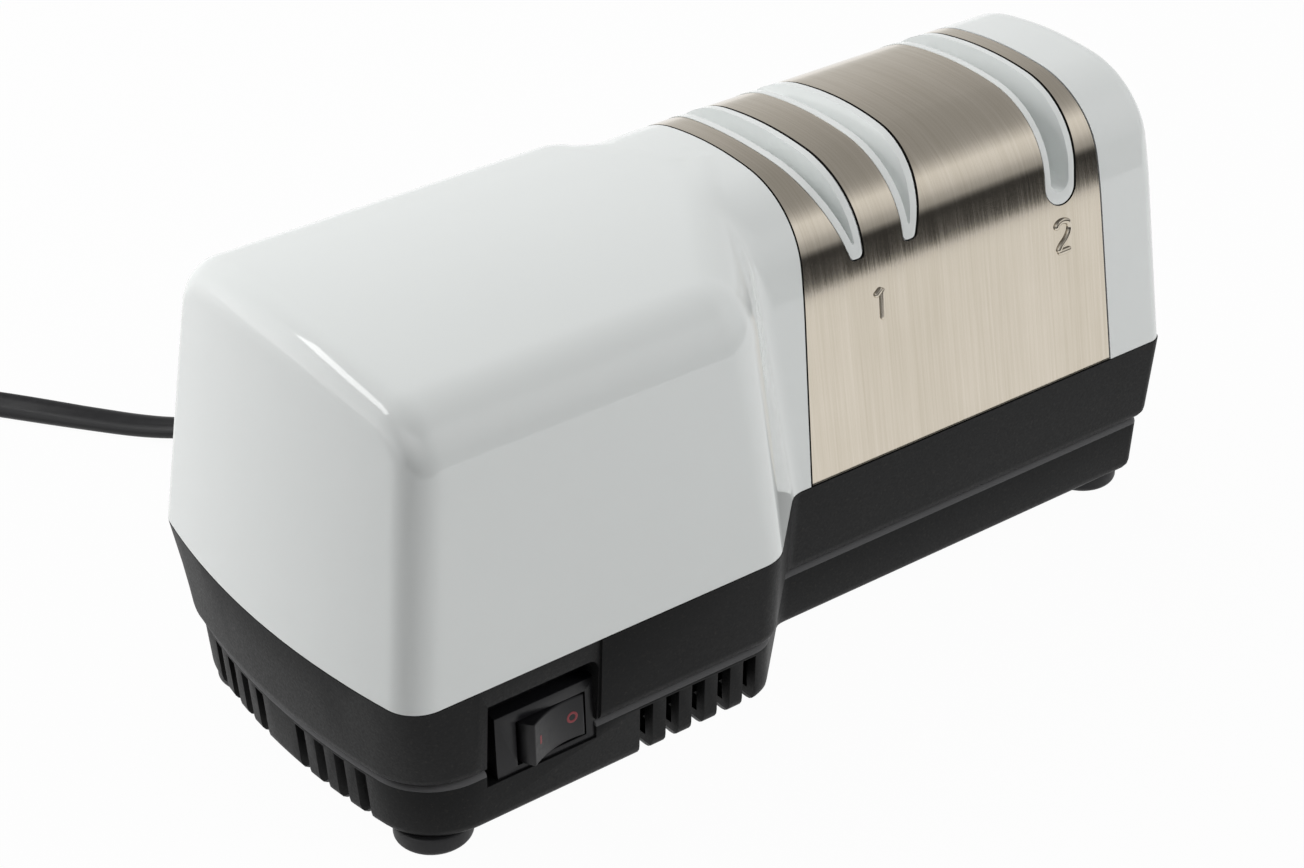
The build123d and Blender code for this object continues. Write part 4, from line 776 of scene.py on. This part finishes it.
def archShell(name, shallow, deep, xLow, xHigh, low, columns, count=220, lean=0.0):
    # A bent slab: the section at two depths, carried along X, with its left edge leaning.
    layers = []
    for inset in (shallow, deep):
        y, z = archLine(inset, count, low)
        share = np.linspace(0, 1, columns)[:, None]
        leftX = xLow + lean * (z[None] - c["seam"])
        x = leftX * (1 - share) + xHigh * share
        layers.append(np.stack([x, y[None] + 0 * x, z[None] + 0 * x], axis=2))
    points = np.concatenate([layer.reshape(-1, 3) for layer in layers])
    size = columns * count
    skin = gridQuads(columns, count)
    under = skin[:, ::-1] + size
    along, over = np.arange(columns) * count, np.arange(count)
    lines = [over, over + (columns - 1) * count, along, along + count - 1]
    walls = [np.stack([line[:-1], line[:-1] + size, line[1:] + size, line[1:]], axis=1) for line in lines]
    made = meshObject(name, points, np.concatenate([skin, under, *walls]))
    return weld(made, 0.0005, outward=True)


def makeLips():
    lips = archShell("slotLips", -s["proud"], s["depth"], s["lipsLeft"], s["lipsRight"], c["seam"], 60)
    combine(lips, slotBars(0.0, 0.0), "INTERSECT")
    combine(lips, slotBars(s["lip"], s["uLip"]), "DIFFERENCE")
    weld(lips, 0.002)
    bevelEdges(lips, s["edge"], 3)
    return smooth(lips, 40)


def acrossBend(centres, normals):  # true where a face stands across the bent surface
    x, y, z = midX + 0 * centres[:, 0], centres[:, 1], centres[:, 2]
    bend = slopes(archForm, x, y, z, 0.0, archForm(x, y, z, 0.0))
    return np.abs((bend.T * normals).sum(axis=1)) < s["across"]


def makePlate():
    gap = s["sideGap"]
    plate = archShell("steelPlate", 0.0, c["plateThickness"], c["plateLeft"] + gap, c["plateRight"] - gap,
                      c["seam"] + gap, 84, 260, c["plateLean"])
    combine(plate, slotBars(-s["plateGap"], -s["plateGap"], s["plateShift"]), "DIFFERENCE")
    weld(plate, 0.001)
    # painted shade: the plate's cut edges, at the slots and round its rim, are darkened, standing in for the shadow in
    # the gaps
    markFaces(plate, acrossBend)
    return smooth(plate)


combine(cover, slotBars(s["coverGap"], s["coverGap"]), "DIFFERENCE")
weld(cover, 0.001)
smooth(cover)
dress(cover, "root", "white_plastic", "top_cover")
lips = dress(makeLips(), "root", "white_plastic")
plate = dress(makePlate(), "root", "brushed_stainless", "steel_cover_plate")
print("cover, lips and plate:", len(cover.data.polygons), len(lips.data.polygons), len(plate.data.polygons))

# Numerals pressed in the plate
numeralSet = {
    # flank picks the flanks that get painted shade, and dark is its level
    "halfWidth": 0.8, "rise": 0.7, "flank": 0.55, "dark": 0.6, "one": (33.3, 83.2), "two": (92.2, 82.3),
    "oneStrokes": [[(-2.1, 2.3), (-1.0, 3.1), (0.3, 4.0)], [(0.3, 4.0), (0.1, 0.0), (-0.1, -4.0)]],
    "twoStrokes": [[(-2.2, 2.0), (-2.0, 3.2), (-0.9, 3.9), (0.4, 3.9), (1.7, 3.3), (2.2, 2.0), (1.9, 0.8), (0.8, -0.7),
                    (-1.1, -2.3), (-2.2, -3.8)], [(-2.2, -3.8), (0.0, -3.8), (2.3, -3.8)]],
}
strokeSides = 28  # points around a stroke


def curveThrough(points, count):  # an even, smooth line through points of a plane
    points = np.array(points, float)
    run = runAlong(points)
    slope = np.gradient(points, run, axis=0)
    at = np.linspace(0, run[-1], count)
    i = np.clip(np.searchsorted(run, at, side="right") - 1, 0, len(points) - 2)
    step = (run[i + 1] - run[i])[:, None]
    t = (at - run[i])[:, None] / step
    first = (2 * t ** 3 - 3 * t ** 2 + 1) * points[i] + (t ** 3 - 2 * t ** 2 + t) * step * slope[i]
    return first + (3 * t ** 2 - 2 * t ** 3) * points[i + 1] + (t ** 3 - t ** 2) * step * slope[i + 1]


def raisedStroke(name, line, halfWidth, rise, lay, closed=False):
    # A flattened round section carried along a line of the plane, with round ends, and laid on a surface.
    along = unit(np.roll(line, -1, axis=0) - np.roll(line, 1, axis=0) if closed else np.gradient(line, axis=0))
    side = np.stack([-along[:, 1], along[:, 0]], axis=1)
    run = runAlong(line)
    fromEnd = np.clip(np.minimum(run, run[-1] - run) / halfWidth, 0, 1)
    size = np.ones(len(line)) if closed else np.sqrt(1 - (1 - fromEnd) ** 2)
    turn = fullTurn(strokeSides)
    flat = line[:, None] + side[:, None] * (halfWidth * size[:, None] * np.cos(turn))[..., None]
    place, normal = lay(flat[..., 0], flat[..., 1])
    points = place + normal * (rise * size[:, None] * np.sin(turn))[..., None]
    faces = gridQuads(len(line), strokeSides, loopRows=closed, loopColumns=True)
    return weld(meshObject(name, points.reshape(-1, 3), faces), 0.001, outward=True)


plateY, plateZ = archLine(0.0, 220, c["seam"])


def onPlate(x, z):  # the steel's front surface and its outward normal
    front = plateY < archY
    y = np.interp(z, plateZ[front], plateY[front])
    tilt = (np.interp(z + 0.5, plateZ[front], plateY[front]) - y) / 0.5
    return np.stack([x, y, z], axis=-1), unit(np.stack([0 * x, -np.ones_like(x), tilt], axis=-1))


def makeNumeral(name, strokes, centre):
    size = (numeralSet["halfWidth"], numeralSet["rise"])
    made = [raisedStroke("stroke", curveThrough(stroke, 60) + centre, *size, onPlate) for stroke in strokes]
    merged = mergePieces(name, made)
    # painted shade: the flanks that face up and towards the motor are darkened, standing in for their dark reflection
    markFaces(merged, lambda centres, normals: (normals[:, 2] - normals[:, 0]) * 0.7 > numeralSet["flank"],
              numeralSet["dark"])
    return dress(smooth(merged, 60), "root", "brushed_stainless")


makeNumeral("numeralOne", numeralSet["oneStrokes"], numeralSet["one"])
makeNumeral("numeralTwo", numeralSet["twoStrokes"], numeralSet["two"])
print("numerals")

# Tub, switch and feet
tubSet = {
    "round": 17.4, "depths": (6.0, 9.0), "heights": (22.0, 40.0),
    "bezelFrom": -70.3, "bezelBefore": -46.0, "bezelWiden": 0.9,
}


def turnsPast(way, normal):  # true for directions between the front's normal and the end's
    return (way[:, 0] < 0) & (way[:, 1] < 0) & (way[:, 0] * normal[1] - way[:, 1] * normal[0] < 0)


def tightenCorners(points):
    # The plan's two left corners go from the moulding's wide arc to the cover's tighter one. A point keeps its depth
    # under the skin and its direction from the wide arc's centre, and its distance becomes that of the tighter
    # outline. The move fades out down the wall and towards the inside.
    bow = np.array([bowRadius - c["length"] / 2, 0.0])
    wide, tight = tubSet["round"], c["endRound"]
    places = [np.array([bow[0] - np.sqrt((bowRadius - r) ** 2 - (motorHalf - r) ** 2), -(motorHalf - r)])
              for r in (wide, tight)]
    plan = np.stack([points[:, 0], -np.abs(points[:, 1])], axis=1)
    reach = plan - places[0]
    distance = np.maximum(np.linalg.norm(reach, axis=1), 1e-6)
    way = reach / distance[:, None]
    depth = wide - distance
    endNormal = (places[0] - bow) / (bowRadius - wide)
    inSector = turnsPast(way, endNormal)
    toFront = (wide - depth) / np.maximum(-way[:, 1], 1e-6)

    def toCircle(centre, radius):  # distance along each way from the wide arc's centre to a circle around it
        offset = places[0] - centre
        along = way @ offset
        return np.sqrt(np.maximum(along ** 2 - offset @ offset + radius ** 2, 0)) - along

    toEnd = toCircle(bow, bowRadius - depth)
    straight = np.minimum(toFront, toEnd)
    touch = places[0] + way * straight[:, None] - places[1]
    tightNormal = (places[1] - bow) / (bowRadius - tight)
    target = np.where(turnsPast(touch, tightNormal), toCircle(places[1], np.maximum(tight - depth, 0.1)), straight)
    shallow, deep = tubSet["depths"]
    low, high = tubSet["heights"]
    keep = np.clip((deep - depth) / (deep - shallow), 0, 1) * inSector
    keep = keep * np.clip((points[:, 2] - low) / (high - low), 0, 1)
    moved = points.copy()
    moved[:, 0] += way[:, 0] * (target - distance) * keep
    moved[:, 1] += way[:, 1] * (target - distance) * keep * np.where(points[:, 1] < 0, 1, -1)
    return moved


def moveVertices(piece, rule):
    places = np.empty(len(piece.data.vertices) * 3)
    piece.data.vertices.foreach_get("co", places)
    piece.data.vertices.foreach_set("co", (rule(places.reshape(-1, 3) / mm) * mm).ravel())
    piece.data.update()


def widenBezel(points):  # the bezel's right edge meets the panel
    edge = (points[:, 0] > tubSet["bezelFrom"]) & (points[:, 1] < tubSet["bezelBefore"])
    return points + np.outer(edge, (tubSet["bezelWiden"], 0.0, 0.0))


tub = refined("base_tub", "baseTub", 0.3, 25.0)
moveVertices(tub, tightenCorners)
switchFrame = refined("switch_body", "switchFrame", 0.25)
moveVertices(switchFrame, widenBezel)
rockerSet = {
    "left": (-87.55, -54.19), "hollow": (-80.25, -49.75), "right": (-72.05, -51.22), "pivot": (-82.4, -47.0),
    "backLeft": (-89.3, -47.1), "backRight": (-73.0, -44.0), "low": 18.4, "high": 29.6, "pin": 1.5,
    "pinReach": 0.9, "pinSink": 0.2, "edge": 0.4,
    "markI": (-85.1, 24.0), "markO": (-75.2, 24.4), "barHalf": 1.2, "ringRadius": 1.15, "stroke": 0.32,
    "markRise": 0.06,
}
k = rockerSet


def rockerFace(count):  # the hollow face in plan: a parabola between two tips, steered by a point behind it
    t = np.linspace(0, 1, count)[:, None]
    left, hollow, right = (np.array(k[name]) for name in ("left", "hollow", "right"))
    return (1 - t) ** 2 * left + 2 * t * (1 - t) * hollow + t ** 2 * right


def arcAbout(centre, start, end, count):  # from one point to another, turning about a centre
    first, last = np.subtract(start, centre), np.subtract(end, centre)
    angle = np.unwrap([np.arctan2(first[1], first[0]), np.arctan2(last[1], last[0])])
    angles = np.linspace(angle[0], angle[1], count)[1:-1]
    radii = np.linspace(np.hypot(*first), np.hypot(*last), count)[1:-1]
    return np.array(centre) + radii[:, None] * ways(angles)


def onRocker(x, z):  # the rocker's hollow face and its outward normal
    face = rockerFace(80)
    y = np.interp(x, face[:, 0], face[:, 1])
    tilt = (np.interp(x + 0.2, face[:, 0], face[:, 1]) - y) / 0.2
    return np.stack([x, y, z], axis=-1), unit(np.stack([tilt, -np.ones_like(x), 0 * x], axis=-1))


def makeRocker():
    outline = np.concatenate([rockerFace(24), arcAbout(k["pivot"], k["right"], k["backRight"], 10),
                              [k["backRight"], k["backLeft"]], arcAbout(k["pivot"], k["backLeft"], k["left"], 10)])
    body = bevelEdges(prism("body", outline, 2, k["low"], k["high"]), k["edge"], 3, 30.0)
    circle = np.array(k["pivot"]) + k["pin"] * ways(fullTurn(24))
    starts = (k["low"] - k["pinReach"], k["high"] - k["pinSink"])
    pins = [prism("pin", circle, 2, low, low + k["pinReach"] + k["pinSink"]) for low in starts]
    made = smooth(mergePieces("rockerKey", [body, *pins]))
    return dress(made, "rocker", "switch_black", "power_rocker")


def makeMarks():  # a bar for on and a ring for off, printed on the hollow face
    barHeights = k["markI"][1] + np.linspace(-k["barHalf"], k["barHalf"], 24)
    bar = np.stack([np.full(24, k["markI"][0]), barHeights], axis=1)
    ring = np.array(k["markO"]) + k["ringRadius"] * ways(fullTurn(48))
    for name, line, closed in (("onMark", bar, False), ("offMark", ring, True)):
        mark = smooth(raisedStroke(name, line, k["stroke"], k["markRise"], onRocker, closed), 60)
        dress(mark, "rocker", "switch_black")
        mark.data.materials[0] = markRed


makeRocker()
makeMarks()
print("tub and switch")

for corner in ("back_left", "front_left", "front_right", "back_right"):
    refined("rubber_foot_" + corner, "foot_" + corner, 0.6, segments=3)
relief = refined("strain_relief", "strainRelief", 0.2)
plug = refined("mains_plug", "plugBody", 0.3)
print("feet, relief and plug")

# Floor and light
lightSet = {
    "floorSize": 8.0, "paperEdge": -0.45, "paperFade": 0.006, "beyond": 0.05, "paper": 0.55, "plain": 0.97,
    "world": 0.23,
    # each lamp: place, what it aims at, size, watts, seen by mirrors
    "lamps": {
        "overhead": ((0.1, 0.85, 1.15), (0.0, 0.0, 0.05), (1.0, 1.0), 7.6, False),
        "leftBehind": ((-0.73, 1.04, 0.60), (-0.1, 0.0, 0.06), (0.7, 0.7), 9.0, False),
        "leftStrip": ((-0.90, 0.67, 1.08), (-0.1, 0.0, 0.06), (0.9, 0.25), 4.0, True),
        "rightFront": ((0.85, -1.1, 0.66), (0.0, 0.0, 0.06), (0.7, 0.7), 10.2, False),
    },
    # share of full light that a mirror sees at each sine of the height above the horizon, in front and behind
    "front": [(0.05, 0.05), (0.12, 0.18), (0.18, 0.40), (0.30, 0.56), (0.42, 0.80), (0.53, 0.93), (0.616, 1.0),
              (0.69, 0.70), (0.743, 0.48), (0.80, 0.39)],
    "behind": [(0.0, 0.80), (0.25, 0.66), (0.45, 0.54), (0.60, 0.43), (0.80, 0.39)],
    # front passes into behind, and the left is brighter, where a slope times the coordinate plus a start is 0 to 1
    "behindSlope": 3.0, "behindStart": 0.95, "leftSlope": -2.5, "leftStart": -0.5, "leftGain": 1.5,
}


def addRamp(nodes, value, stops):
    ramp = nodes.tree.nodes.new("ShaderNodeValToRGB")
    while len(ramp.color_ramp.elements) < len(stops):
        ramp.color_ramp.elements.new(0.5)
    for element, (place, level) in zip(ramp.color_ramp.elements, stops):
        element.position = place
        element.color = (level, level, level, 1)
    feed(nodes.tree, ramp.inputs[0], value)
    return Wire(nodes.tree, ramp.outputs[0])


def clamped(wire, low=0.0):
    wire = wire.math("MINIMUM", wire, 1.0)
    return wire.math("MAXIMUM", wire, low)


def makeFloor():
    # Pale paper for other surfaces; the camera sees it plain, and mirrors see it bright up to an edge in front.
    size = lightSet["floorSize"]
    corners = [(-size, -size, 0), (size, -size, 0), (size, size, 0), (-size, size, 0)]
    floor = meshObject("floor", np.array(corners) / mm, [(0, 1, 2, 3)])
    material = bpy.data.materials.new("paper")
    nodes = Nodes(material)
    camera, glossy = nodes.seenBy()
    across = nodes.node("SeparateXYZ", None, {0: nodes.node("TexCoord", output=3)}, output=1)
    onPaper = clamped((across - lightSet["paperEdge"]) * (0.5 / lightSet["paperFade"]) + 0.5, lightSet["beyond"])
    paper = nodes.node("BsdfDiffuse", None, {"Color": (*3 * [lightSet["paper"]], 1)})
    glow = nodes.node("Emission", None, {"Strength": onPaper.math("MAXIMUM", onPaper, camera)})
    share = camera * lightSet["plain"] + glossy
    nodes.end("Material Output", 0, nodes.node("MixShader", None, {0: share, 1: paper, 2: glow}))
    floor.data.materials.append(material)


def makeLamp(name, place, aim, size, power, mirrored):
    data = bpy.data.lights.new(name, "AREA")
    data.shape = "RECTANGLE"
    data.size, data.size_y = size
    data.energy = power
    lamp = addObject(name, data)
    lamp.location = place
    lamp.rotation_euler = (Vector(aim) - Vector(place)).to_track_quat("-Z", "Y").to_euler()
    lamp.visible_glossy = mirrored


def makeWorld():
    # Even light for the scene; mirror-like surfaces see a bright strip high in front and a grey room behind.
    world = bpy.data.worlds.new("room")
    scene.world = world
    nodes = Nodes(world)
    camera, glossy = nodes.seenBy()
    way = nodes.node("TexCoord")
    x, y, z = (nodes.node("SeparateXYZ", None, {0: way}, output=axis) for axis in range(3))
    front, behind = (addRamp(nodes, z, lightSet[side]) for side in ("front", "behind"))
    mirrored = front + clamped(y * lightSet["behindSlope"] + lightSet["behindStart"]) * (behind - front)
    left = clamped(x * lightSet["leftSlope"] + lightSet["leftStart"])
    level = camera + glossy * mirrored * (left * lightSet["leftGain"] + 1.0)
    nodes.end("Background", "Strength", level + (1.0 - (camera + glossy)) * lightSet["world"])
    nodes.end("Background", "Color", (1, 1, 1, 1))


makeFloor()
makeWorld()
for lampName, settings in lightSet["lamps"].items():
    makeLamp(lampName, *settings)
for piece in (mainsCord, plug, frame["nodes"]["plug_blades"]):
    piece.visible_glossy = False  # the put-away coil doesn't show in the gloss
scene.view_settings.view_transform = "Standard"
print("floor and light")
